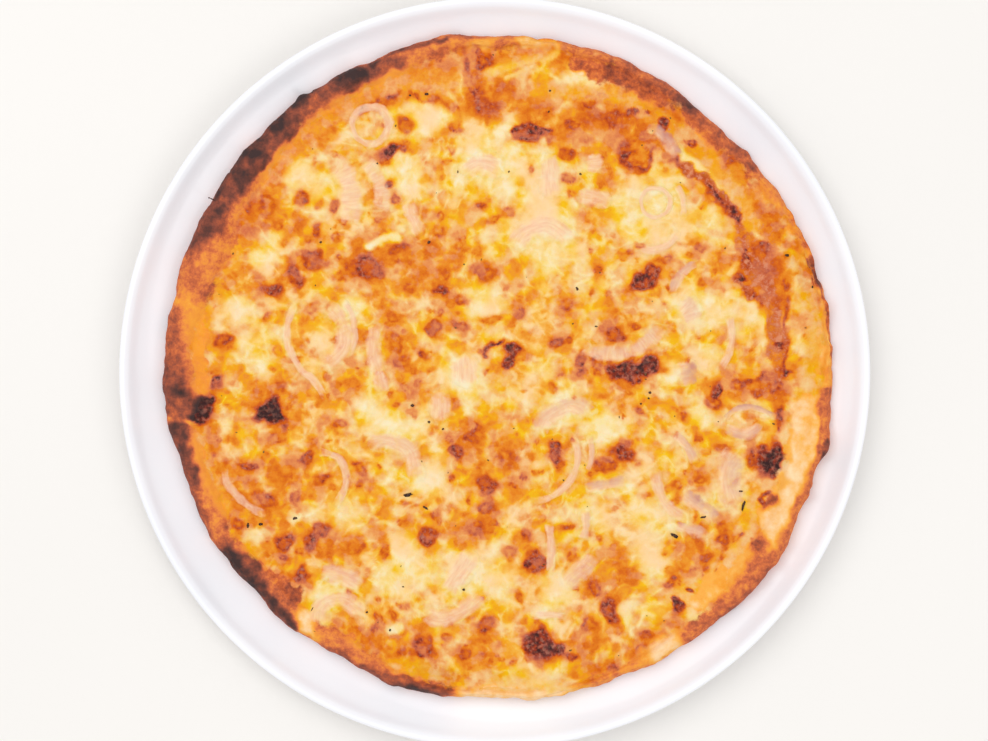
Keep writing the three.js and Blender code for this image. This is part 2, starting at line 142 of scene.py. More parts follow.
def glazed(tree):
    """Clear glaze over white clay: cool and warm whites drift over 45 mm, the surface has the faint
    ripple of glaze, 9 mm long, and the foot's face below 0.4 mm is bare matt clay."""
    place = add(tree, "TexCoord").outputs["Object"]
    drift = add(tree, "TexNoise", {"Vector": place, "Scale": 1 / (45 * MM), "Detail": 1.0})
    white = add(tree, "ValToRGB", {"Fac": drift}, [(0.35, PORCELAIN_COOL), (0.65, PORCELAIN_WHITE)])
    height = add(tree, "SeparateXYZ", {"Vector": place}).outputs["Z"]
    bare = add(tree, "MapRange", {"Value": height, "From Min": 0.4 * MM, "From Max": 0.1 * MM})
    colour = add(tree, "MixRGB", {"Fac": bare, "Color1": white, "Color2": BARE_CLAY})
    gloss = add(tree, "MapRange", {"Value": bare, "To Min": 0.14, "To Max": 0.8})
    ripple = add(tree, "TexNoise", {"Vector": place, "Scale": 1 / (9 * MM), "Detail": 1.0})
    bump = add(tree, "Bump", {"Height": ripple, "Strength": 0.12, "Distance": 0.4 * MM})
    return {"Base Color": colour, "Roughness": gloss, "IOR": 1.5, "Normal": bump}


under = PLATE_TOP - PLATE_BODY
plate_profile = rounded([
    (0, FOOT_DEPTH),
    (FOOT_INNER - 2, FOOT_DEPTH),
    (FOOT_INNER, 0),
    (FOOT_OUTER, 0),
    (FOOT_OUTER + 2.5, under),
    (WELL_RADIUS - 2, under),
    (WELL_RADIUS + 10, under + 2.6),
    (PLATE_RADIUS - 2.2, PLATE_HEIGHT - 5.8),
    (PLATE_RADIUS, PLATE_HEIGHT - 2.8),
    (PLATE_RADIUS, PLATE_HEIGHT - 1),
    (PLATE_RADIUS - 0.9, PLATE_HEIGHT),
    (PLATE_RADIUS - 2.1, PLATE_HEIGHT),
    (PLATE_RADIUS - 3.8, PLATE_HEIGHT - 1),
    (PLATE_RADIUS - 7.5, PLATE_TOP + 3.6),
    (PLATE_RADIUS - 13, PLATE_TOP + 1),
    (WELL_RADIUS, PLATE_TOP),
    (0, PLATE_TOP),
], [FOOT_ROUNDING] * 4 + [WALL_ROUNDING] * 11, 7)
turn = np.linspace(0, 2 * np.pi, PLATE_COLUMNS, endpoint=False)
radius, height = plate_profile[1:-1, 0, None], plate_profile[1:-1, 1, None]
plate_rings = np.stack([radius * np.cos(turn), radius * np.sin(turn), height + 0 * turn], -1)
plate_middles = [[0, 0, FOOT_DEPTH], [0, 0, PLATE_TOP]]
plate_points = np.concatenate([plate_rings.reshape(-1, 3), plate_middles])
plate_rows = len(plate_rings)
plate_size = plate_rows * PLATE_COLUMNS
plate_faces = [
    ring_faces(plate_rows, PLATE_COLUMNS),
    cap_faces(np.arange(PLATE_COLUMNS), plate_size, last=False),
    cap_faces(np.arange(PLATE_COLUMNS) + plate_size - PLATE_COLUMNS, plate_size + 1, last=True),
]
plate = make_piece("porcelain_plate", plate_points, plate_faces, new_material("glazed porcelain", glazed))
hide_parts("plate")

# The baking: what a hot oven does to the whole pizza. Cheese melts into strands, browns in patches
# and rises in blisters, and the rim of the dough toasts and chars. It is worked out on a canvas, a
# square of small cells seen from above, from which the crust, cheese and onion take their marks.
CANVAS_HALF = 160.0
CANVAS_STEP = 0.4
CANVAS_AXIS = np.arange(-CANVAS_HALF, CANVAS_HALF + CANVAS_STEP / 2, CANVAS_STEP)
CANVAS_X, CANVAS_Y = np.meshgrid(CANVAS_AXIS, CANVAS_AXIS)

# The pizza's outline and the bare rim's width: bell curves in angle, as degrees, spread, mm. The
# cheese's border wanders by what the mottle is on a circle of the wander radius.
PIZZA_RADIUS = 141.8
PIZZA_X, PIZZA_Y = 2.0, 1.9
RIM_NARROWEST = 4.0
WANDER_RADIUS = 130.0
OUTLINE_SWELLS = [
    (347, 2.4, 0.9), (341.5, 2.4, -0.9), (45, 22, -1.8), (100, 6, 1.5), (125, 20, 0.6), (178, 10, 1.4),
    (202, 12, 0.8), (240, 7, -1.8), (254, 8, 0.6), (267, 7, -1.2), (317, 12, 2.8), (345, 12, 1.3),
    (7, 7, 1.4), (27, 5, 1.0), (3.5, 1.2, 1.2), (0, 5, 0.7),
]
RIM_SWELLS = [
    (45, 18, 4.5), (112, 16, 7.5), (140, 14, 9), (162, 14, 13), (186, 12, 9), (205, 12, 7),
    (225, 12, 8.5), (244, 10, 5), (306, 10, 5), (322, 10, 8), (342, 12, 12),
]

# Patches of cheese: x, y, reach, and how far it browned, from 0, cream, over 0.5, orange, to 1, char.
# Their average is then spread about its mean, and laid about a level a little paler than that.
PATCH_MEAN, PATCH_LEVEL, PATCH_CONTRAST = 0.325, 0.31, 1.4
PATCHES = [
    (-84, 85, 5, 0.1), (-99, 47, 5, 0.08), (-96, 57, 5, 0.15), (-103, 67, 9, 0.52), (-93, 95, 8, 0.5),
    (-77, 105, 8, 0.5), (-68, 75, 9, 0.16), (-40, 84, 7, 0.13), (-36, 110, 7, 0.12), (-51, 50, 8, 0.5),
    (-26, 127, 7, 0.5), (-28, 109, 8, 0.12), (-5, 114, 7, 0.62), (18, 112, 7, 0.52), (10, 128, 6, 0.42),
    (37, 124, 6, 0.16), (58, 118, 6, 0.4), (41, 110, 6, 0.6), (-40, 117, 5, 0.5), (6, 121, 5, 0.52),
    (32, 104, 5, 0.5), (66, 106, 6, 0.6), (74, 98, 5, 0.5), (-56, 118, 5, 0.52), (-5, 89, 14, 0.16),
    (22, 84, 10, 0.14), (-23, 100, 5, 0.42), (-23, 90, 3.5, 0.4), (50, 106, 6, 0.58), (49, 86, 4, 0.42),
    (89, 97, 6, 0.4), (99, 84, 6, 0.5), (66, 70, 13, 0.17), (94, 64, 7, 0.24), (111, 69, 6, 0.56),
    (119, 59, 5, 0.46), (-110, 27, 5, 0.12), (-100, 13, 9, 0.22), (-98, 3, 4, 0.12),
    (-93, -10, 9, 0.48), (-118, -27, 6, 0.46), (-114, -23, 2.6, 0.1), (-68, -8, 5, 0.45),
    (-54, -15, 4, 0.1), (-44, 28, 7, 0.38), (-59, 28, 4, 0.08), (-72, 15, 7, 0.22), (-50, 38, 7, 0.42),
    (-40, 3, 6, 0.42), (-44, -22, 7, 0.14), (-30, 46, 9, 0.52), (-6, 30, 7, 0.14), (-3, 56, 6, 0.22),
    (22, 60, 10, 0.12), (22, 49, 6, 0.16), (42, 64, 5, 0.42), (29, 27, 6, 0.42), (-15, -1, 6, 0.1),
    (-41, -5, 5, 0.34), (22, -1, 6, 0.24), (50, 24, 6, 0.46), (114, 50, 6, 0.6), (118, 42, 6, 0.62),
    (120, 30, 5, 0.56), (131, 34, 5, 0.36), (128, 54, 5, 0.38), (36, 52, 6, 0.22), (85, 48, 6, 0.38),
    (97, 48, 4, 0.5), (130, 46, 5, 0.28), (134, 24, 6, 0.36), (133, 12, 6, 0.28), (128, 60, 5, 0.34),
    (110, 78, 7, 0.4), (25, -134, 6, 0.16), (135, -6, 6, 0.3), (137, 4, 6, 0.34), (109, 20, 6, 0.2),
    (97, 25, 5, 0.18), (85, 28, 8, 0.16), (73, 12, 5, 0.32), (74, 0, 4, 0.08), (122, -8, 5, 0.58),
    (103, -5, 5, 0.48), (53, -10, 6, 0.42), (48, -24, 6, 0.06), (72, -25, 7, 0.28), (89, -17, 5, 0.14),
    (-36, -12, 5, 0.48), (-40, -22, 7, 0.14), (-11, -25, 6, 0.5), (2, -34, 7, 0.46),
    (-53, -55, 6, 0.36), (-28, -45, 5, 0.08), (-49, -60, 6, 0.4), (-62, -75, 6, 0.46),
    (-11, -68, 7, 0.5), (-14, -84, 9, 0.13), (-37, -80, 8, 0.16), (10, -49, 4, 0.46),
    (28, -15, 6, 0.14), (44, -58, 8, 0.2), (52, -84, 8, 0.5), (1, -76, 4, 0.16), (6, -92, 7, 0.2),
    (74, -33, 7, 0.26), (87, -45, 4, 0.44), (66, -62, 9, 0.2), (53, -58, 5, 0.34), (66, -79, 7, 0.16),
    (82, -79, 7, 0.5), (128, -36, 6, 0.22), (116, -46, 5, 0.4), (108, -64, 5, 0.38),
    (100, -83, 5, 0.46), (124, -66, 5, 0.34), (67, -103, 5, 0.22), (86, -102, 3.5, 0.12),
    (28, -92, 6, 0.12), (40, -90, 5, 0.48), (-107, -50, 8, 0.5), (-103, -71, 3, 0.06),
    (-98, -76, 4, 0.46), (-61, -60, 6, 0.2), (-65, -75, 6, 0.48), (-72, -97, 6, 0.16),
    (-64, -104, 4, 0.42), (-39, -86, 8, 0.16), (-61, -114, 6, 0.5), (-43, -115, 6, 0.5),
    (-24, -110, 4, 0.2), (-25, -125, 6, 0.42), (-6, -118, 7, 0.5), (-3, -88, 5, 0.14),
    (-5, -130, 6, 0.28), (12, -133, 7, 0.2), (30, -128, 6, 0.28), (22, -104, 4, 0.1),
    (8, -110, 5, 0.36), (40, -116, 6, 0.48), (58, -104, 5, 0.28), (-85, 60, 6, 0.42), (-90, 45, 4, 0.4),
    (-60, 100, 6, 0.3), (-105, 40, 6, 0.44), (-118, 5, 4, 0.4), (-8, 75, 6, 0.3), (-15, 66, 5, 0.34),
    (44, 35, 7, 0.24), (62, 45, 6, 0.24), (0, 12, 5, 0.24), (10, -8, 6, 0.26), (-8, -12, 5, 0.26),
    (-75, -45, 7, 0.4), (-90, -42, 7, 0.46), (-80, -20, 6, 0.38), (-96, -60, 6, 0.5),
    (-46, -44, 6, 0.24), (20, -44, 4, 0.28), (54, -46, 5, 0.22), (33, -70, 6, 0.26), (112, 2, 5, 0.3),
    (90, 6, 5, 0.2), (64, -38, 5, 0.24), (100, -48, 5, 0.22), (92, -56, 4, 0.24),
]

# Blisters in cheese and rim: x, y, half width, half height, turn in degrees, how dark, with 1 as char.
# Smaller ones are strewn between them, up to the strewn reach from the middle.
STREWN_BLISTERS, STREWN_REACH = 420, 134.0
BLISTERS = [
    (-124.8, -14.4, 4.6, 4.6, 0, 1.04), (-96, -17, 5.5, 4.6, 0, 1.04), (-94, -12, 1.8, 3, 20, 0.9),
    (-92, -20, 2.4, 1.8, 0, 0.9), (-116, 13.5, 4.2, 3, 0, 0.7), (-118, -4, 2.4, 3.6, 0, 0.88),
    (-90.5, -6, 1.8, 1.8, 0, 0.6), (-94.8, 36, 5, 3, 0, 0.75), (-85.5, 42, 3.5, 6, 20, 0.6),
    (-77.5, 48, 5, 4.2, 0, 0.7), (-54.5, 44.5, 6.5, 5.6, 0, 0.75), (-50, 41, 4, 2, -20, 0.6),
    (-42, 52, 4.5, 2, 10, 0.7), (-65.5, 40, 2.8, 2.8, 0, 0.3), (-66, 49, 1.8, 1.8, 0, 0.4),
    (-58.5, 55, 2, 2, 0, 0.35), (-97, 24, 1.8, 1.8, 0, 0.4), (-77.5, 27.5, 2.6, 2.6, 0, 0.35),
    (-83.5, 12.5, 2, 2, 0, 0.25), (-44, 23.5, 2.6, 2, 0, 0.45), (-60.5, -5.5, 2.5, 2.5, 0, 0.4),
    (-80, -36, 3, 3, 0, 0.72), (-73.5, -45, 3.5, 1.8, 10, 0.55), (-66, -22, 2.8, 1.6, 0, 0.4),
    (-76.5, -29, 2, 2, 0, 0.4), (-57.8, -41, 5, 1.7, -40, 0.62), (-106, -40, 4, 2, 0, 0.7),
    (-102, -40, 2, 1.6, 0, 0.7), (-90, -21, 2.2, 3.6, 15, 0.5), (-93, -28, 3, 2, 0, 0.45),
    (-120, -35, 1.2, 1.2, 0, 0.7), (-40, 4.5, 3.2, 2.4, 0, 0.5), (-42.5, 12, 3, 5, 0, 0.35),
    (-35, 0.5, 1.6, 1.6, 0, 0.4), (-30.5, 8, 2.4, 2.4, 0, 0.5), (-25.5, 19.5, 3, 3.5, 0, 0.6),
    (-15, 20, 3.2, 2, -25, 0.6), (-14.5, 31.5, 2.4, 1.6, 0, 0.55), (-23.5, 35, 3.8, 2.6, 0, 0.7),
    (-36.5, 35.5, 2, 2.2, 0, 0.45), (-21, 42, 1.4, 2.6, 0, 0.4), (-4, 43, 5, 4.6, 0, 0.5),
    (-14, 53, 2.4, 1.8, 0, 0.4), (-6.5, 70.5, 2.4, 1.6, 0, 0.55), (0, 65.5, 4, 1.6, 20, 0.4),
    (6, 67.5, 1.8, 1.8, 0, 0.35), (-24, 60, 2.4, 2.4, 0, 0.3), (-38.5, 106, 3.4, 2.8, 0, 0.5),
    (-44.5, 94, 4.4, 1.9, 30, 0.95), (-39, 95.5, 1.8, 1.4, 0, 0.6), (-47, 89.5, 2, 1.6, 0, 0.6),
    (-45, 80, 2, 2, 0, 0.6), (-42, 74.5, 1.8, 2.6, 15, 0.6), (-16.5, 104, 2.2, 2.2, 0, 0.4),
    (-50, 65, 2.4, 1.6, 0, 0.35), (-20, 90, 3.5, 1.2, 0, 0.3), (-82.5, 75, 3, 3, 0, 0.55),
    (-68.5, 71, 1.6, 3, 0, 0.6), (-75, 71.5, 1.6, 1.6, 0, 0.4), (-76, 60, 2, 3, 0, 0.5),
    (-97, 71, 3.4, 4, 20, 0.5), (-92, 62, 1.8, 1.8, 0, 0.45), (-105, 71, 2, 3, 30, 0.6),
    (-47.5, 115.5, 2, 2, 0, 0.35), (16, 101, 7.6, 3.4, 0, 0.66), (18, 102.6, 4.6, 1.7, 0, 0.84),
    (32, 106.5, 3, 2.5, 0, 0.6), (49.5, 108, 2, 3, 0, 0.75), (40, 115.5, 3, 3, 0, 0.5),
    (59.5, 112, 3, 1.4, 0, 0.7), (64.5, 111.5, 1.4, 1.4, 0, 0.7), (100, 90, 3, 2.4, 30, 0.6),
    (60.5, 93, 6.4, 7.4, 0, 0.25), (55.8, 93, 2.4, 5.4, 0, 0.75), (72, 106, 2.4, 2, 0, 0.9),
    (83.5, 98, 2.2, 1.6, 0, 0.8), (16, 87, 1.6, 2.6, 0, 0.35), (31, 93, 3.4, 3, 0, 0.45),
    (32, 81.5, 3, 1.6, 0, 0.4), (105, 40, 3, 2.8, 0, 0.84), (107, 48, 2.4, 3.6, 0, 0.86),
    (114.5, 54, 2.8, 1.8, 0, 0.8), (62.5, 38, 6, 3.6, 35, 0.9), (67.5, 43.5, 2.6, 2.6, 0, 0.85),
    (72.5, 48, 3, 1.4, 30, 0.5), (87, 53, 1.8, 1.8, 0, 0.45), (51.5, 16, 4.5, 3, -15, 0.75),
    (60, 19.5, 2.5, 1.4, 0, 0.6), (57.5, 1, 11, 3.4, 3, 0.95), (66, 4, 3.4, 3.4, 0, 1),
    (58, -4, 4, 2, 0, 0.85), (26.5, 13, 4.4, 2.8, 15, 0.65), (31.5, 15, 1.6, 1.6, 0, 0.6),
    (36, 5, 2, 4, -15, 0.65), (36, 0, 2, 2, 0, 0.6), (43, 5, 2.5, 2.5, 0, 0.5),
    (7.5, 10.5, 3.2, 2.6, 0, 0.95), (5.5, 3.5, 2.6, 2.4, 0, 0.95), (7.5, 7, 1.6, 2, 0, 0.9),
    (10.5, 25.5, 2.6, 2.6, 0, 0.5), (-1, 23, 3.6, 1.2, 0, 0.35), (31.5, 29.5, 3, 3.2, 0, 0.45),
    (44, 44, 1.8, 3.5, 0, 0.45), (54, -34, 4.4, 4.4, 0, 0.8), (46, -39.5, 3.4, 3, 0, 0.65),
    (50.5, -39, 2, 2.4, 0, 0.6), (26.5, -33, 3, 4.4, 0, 0.8), (28, -39, 1.6, 2.4, 0, 0.5),
    (-16, -33.5, 3.2, 2.8, 0, 0.8), (-10.5, -27.5, 3, 2.6, 0, 0.6), (-3.5, -47.5, 4.2, 4, 0, 0.8),
    (0.5, -48, 2, 2, 0, 0.5), (-4.5, -57.5, 3.6, 2.6, 0, 0.65), (7, -48, 2, 1.4, 0, 0.5),
    (12, -45, 2.2, 1.6, 0, 0.35), (5, -35.5, 4.4, 4, 0, 0.35), (0, -64, 1.8, 1.8, 0, 0.5),
    (-8, -66.5, 4, 3, 0, 0.5), (-28, -70.5, 4, 4.6, 0, 0.75), (-47, -76, 2, 3.6, 0, 0.5),
    (-26, -60, 3, 1.8, 0, 0.35), (13.5, -68.5, 2.2, 2.2, 0, 0.55), (17, -81, 4.6, 5, 0, 0.75),
    (14, -81, 1.6, 2, 0, 0.95), (7, -76.5, 2.8, 2.8, 0, 0.4), (30.5, -66, 3.4, 1.6, 0, 0.55),
    (32.5, -77, 2, 2.6, 0, 0.35), (49, -101, 3, 5.5, 10, 0.85), (18.5, -116, 6.5, 6, 0, 0.94),
    (26, -117, 4, 3.4, 0, 0.9), (32, -121, 4, 1.6, -20, 0.65), (-30.5, -117, 5, 4.8, 0, 0.72),
    (-12.8, -120, 2.2, 2.2, 0, 0.7), (-3.5, -107, 3.3, 2.8, 0, 0.75),
    (-43.5, -103.5, 2.2, 2.2, 0, 0.45), (-50, -104, 2, 2, 0, 0.4), (-39.5, -119, 2.4, 1.8, 0, 0.65),
    (-20.5, -112.2, 2, 1.6, 0, 0.5), (-51, -109, 1.6, 2, 0, 0.6), (9.8, -95, 1.2, 1.6, 0, 0.45),
    (42, -92, 3.4, 3.4, 0, 0.5), (39.5, -107, 3, 3, 0, 0.45), (77.8, -99, 2.8, 3.6, 0, 0.9),
    (83.5, -92.5, 1.6, 1.6, 0, 0.9), (97.5, -71.5, 2.6, 2.8, 0, 0.7), (90.5, -79, 2.2, 2.2, 0, 0.6),
    (89.5, -85.5, 1.6, 3, 0, 0.6), (75, -89.5, 2.6, 2.6, 0, 0.55), (118, -37.5, 5.6, 6.6, 0, 1),
    (118.5, -39, 3.4, 4, 0, 1), (109.5, -36.5, 1.4, 3.6, 0, 0.8), (115.5, -53.8, 4.4, 3.2, 0, 0.8),
    (97, -66, 2, 2.6, 0, 0.5), (94.5, -7.5, 2.6, 2.6, 0, 0.95), (94, -13, 4, 3, 0, 0.5),
    (80.5, -18.5, 2, 1.4, -30, 0.5), (87, -45, 4, 2, 0, 0.4), (96.5, -31.5, 2.6, 1.2, 0, 0.55),
    (62.5, -16, 1.6, 1.6, 0, 0.6), (64.5, -112, 3, 2, 0, 0.6), (62, -118, 2.6, 1.8, 0, 0.65),
    (51, -127, 3.4, 2, 15, 0.7), (-89, -73, 5, 5, 0, 0.6), (-88, -70, 2, 2, 0, 0.75),
    (-90.5, -78.5, 2, 2, 0, 0.6), (-125.5, -19, 4.5, 3.2, 0, 0.97), (-4, 132, 3.6, 2.2, 20, 0.8),
    (-6.5, 136.5, 1.4, 2.4, 0, 0.5), (-8.5, 126, 1.6, 2.4, 0, 0.5), (39, 114.5, 2.6, 2, 0, 0.6),
    (109, 34, 3.4, 2.2, -30, 0.65), (121, 11.5, 2.4, 2.6, 0, 0.9), (113, 31, 2.6, 1.6, -40, 0.7),
    (124, 37, 1.2, 2.8, 10, 0.55), (116, 44, 1.4, 3.5, 0, 0.5), (112, -9, 2.4, 1.6, 0, 0.7),
    (120, -6, 3, 2.6, 0, 0.65), (-78.2, -72.8, 4.4, 4.4, 0, 0.72), (-74, -66.5, 3.2, 2.4, -20, 0.85),
    (-82, -86.5, 3, 3.4, 0, 0.75), (-97.5, -53.5, 4.4, 2.6, -15, 0.66),
    (-85.5, -53.5, 2.6, 2.6, 0, 0.5), (-109.5, -65.5, 3, 3.6, 0, 0.6), (-58.5, -74, 4, 4, 0, 0.35),
]

# Shreds of cheese that can still be told apart, and how far from the middle they lie.
SHRED_COUNT, SHRED_REACH = 1100, 136.0

# Browned strokes: points, half width, how dark.
BROWN_STROKES = [
    ([(79, 91), (88, 84), (95, 76), (103, 66)], 3, 0.66),
    ([(103, 66), (106, 58), (107.5, 52)], 1.4, 0.3),
    ([(107, 52), (107, 48)], 0.8, 0.6),
    ([(125, 32), (124, 20), (124, 8), (123, -1)], 0.9, 0.5),
    ([(-4.5, 7), (-4, 10), (-2, 12.5), (1, 13.4), (3, 13.2)], 1.2, 0.85),
    ([(-11, -27), (-8.5, -24), (-8, -21)], 0.6, 0.75),
    ([(126, 1), (119, -2), (112, -3), (103, -6)], 2.6, 0.55),
    ([(56, 88.5), (60, 86), (64, 86)], 1.2, 0.6),
    ([(64, 86), (67, 90), (67, 95.5), (64, 100)], 1.0, 0.45),
    ([(7.4, 103.3), (12, 104.2), (16.5, 105), (23.5, 103.3)], 0.8, 0.95),
    ([(104.5, -69), (100.7, -73.3), (96.2, -79.4), (93.9, -88.5), (91.6, -92.3)], 1.5, 0.4),
    ([(-12.3, 138), (-11.6, 127), (-10, 118)], 1.2, 0.4),
    ([(121, -15), (121, -24)], 1.6, 0.5),
    ([(-8.5, 124), (-6.3, 111.5)], 1.8, 0.5),
    ([(-56, 112), (-48, 117), (-36, 118), (-24, 116), (-16, 112)], 1.8, 0.4),
    ([(52, 110), (60, 112)], 1.4, 0.6),
]

# Folds and strands of cheese: points, half width, how dark.
PALE_STROKES = [
    ([(-53, 1), (-53, -10), (-53.5, -20)], 1.1, 0.08),
    ([(79, 94), (84, 90), (90, 85), (100, 75)], 2.0, 0.08),
    ([(-53, 54), (-47, 57), (-41, 58)], 1.8, 0.08),
    ([(56.5, -99.5), (57, -105)], 2.2, 0.1),
    ([(-23, 0), (-22.6, -4)], 1.1, 0.08),
    ([(-103, -69), (-103, -73)], 2.4, 0.06),
    ([(-44, -109), (-40, -109)], 1.6, 0.1),
    ([(-77, -97), (-76, -104), (-73, -108)], 3.0, 0.08),
    ([(-1, 128), (8, 131), (19, 135)], 1.8, 0.27),
    ([(5, 124.5), (14, 128.5)], 1.2, 0.3),
    ([(22, 133), (26, 136)], 1.6, 0.2),
    ([(74, -66), (77, -66)], 1.6, 0.1),
    ([(99.5, 33), (102.5, 33)], 1.6, 0.1),
    ([(66, 104), (68, 104)], 1.4, 0.1),
]

# Tomato sauce that shows through: points, half width, strength.
SAUCE_STROKES = [
    ([(81, 87), (90, 82), (98, 73), (104, 65)], 2.1, 0.75),
    ([(103, 66), (107, 57), (109, 49)], 3, 0.58),
    ([(108, 50), (112.5, 40), (117, 29), (120.3, 19), (121, 10)], 4.2, 0.62),
    ([(104, 38), (109, 33)], 2, 0.75),
    ([(122, 5), (122, -3), (118, -9)], 3.2, 0.45),
    ([(45, 118), (52, 112), (62, 110), (72, 104)], 3.2, 0.34),
    ([(-9, 136), (-9, 124), (-7, 112)], 3.6, 0.35),
    ([(112, 68), (117, 58), (118, 50)], 3, 0.35),
]

# Oil that ran against the rim and stayed a clear amber: points, half width.
OIL_STROKES = [
    ([(-126, 22), (-126, 8), (-125, -6)], 4.2),
    ([(-126, -30), (-121, -46), (-114, -58)], 3),
    ([(-104, -74), (-98, -82)], 2.4),
    ([(-97, 84), (-88, 94), (-81, 101.5), (-73, 108.5), (-64, 112)], 3.4),
    ([(-68, 114), (-56, 117), (-40, 125.5), (-20, 124)], 4),
    ([(18, 121), (34, 119.5), (50, 118), (66, 113)], 3.2),
    ([(-42, -125), (-26, -128.5)], 3),
    ([(122, -46), (117, -48.5), (111, -55), (109, -62), (103.5, -76), (98, -86)], 3.2),
    ([(124, -25), (124.5, -36)], 2),
    ([(76, -97), (92, -88), (102, -78), (108, -66)], 3.4),
    ([(64, 111), (78, 103), (91, 91), (102, 77), (110, 63)], 3.4),
    ([(133, 33), (136, 24), (137, 10), (134, -6)], 3.4),
]

# Where the cheese is so thin that the dough shows through: points, half width.
THIN_STROKES = [
    ([(132, -14), (131.5, -32), (126, -48), (118, -61)], 5.6),
    ([(70, 117), (54, 126.5), (36, 132)], 4.6),
    ([(-98, -84), (-86, -95)], 4),
    ([(98, -85), (94, -89), (86, -97)], 4),
    ([(-125.5, 22), (-125.5, 8), (-124.5, -6)], 3.4),
]

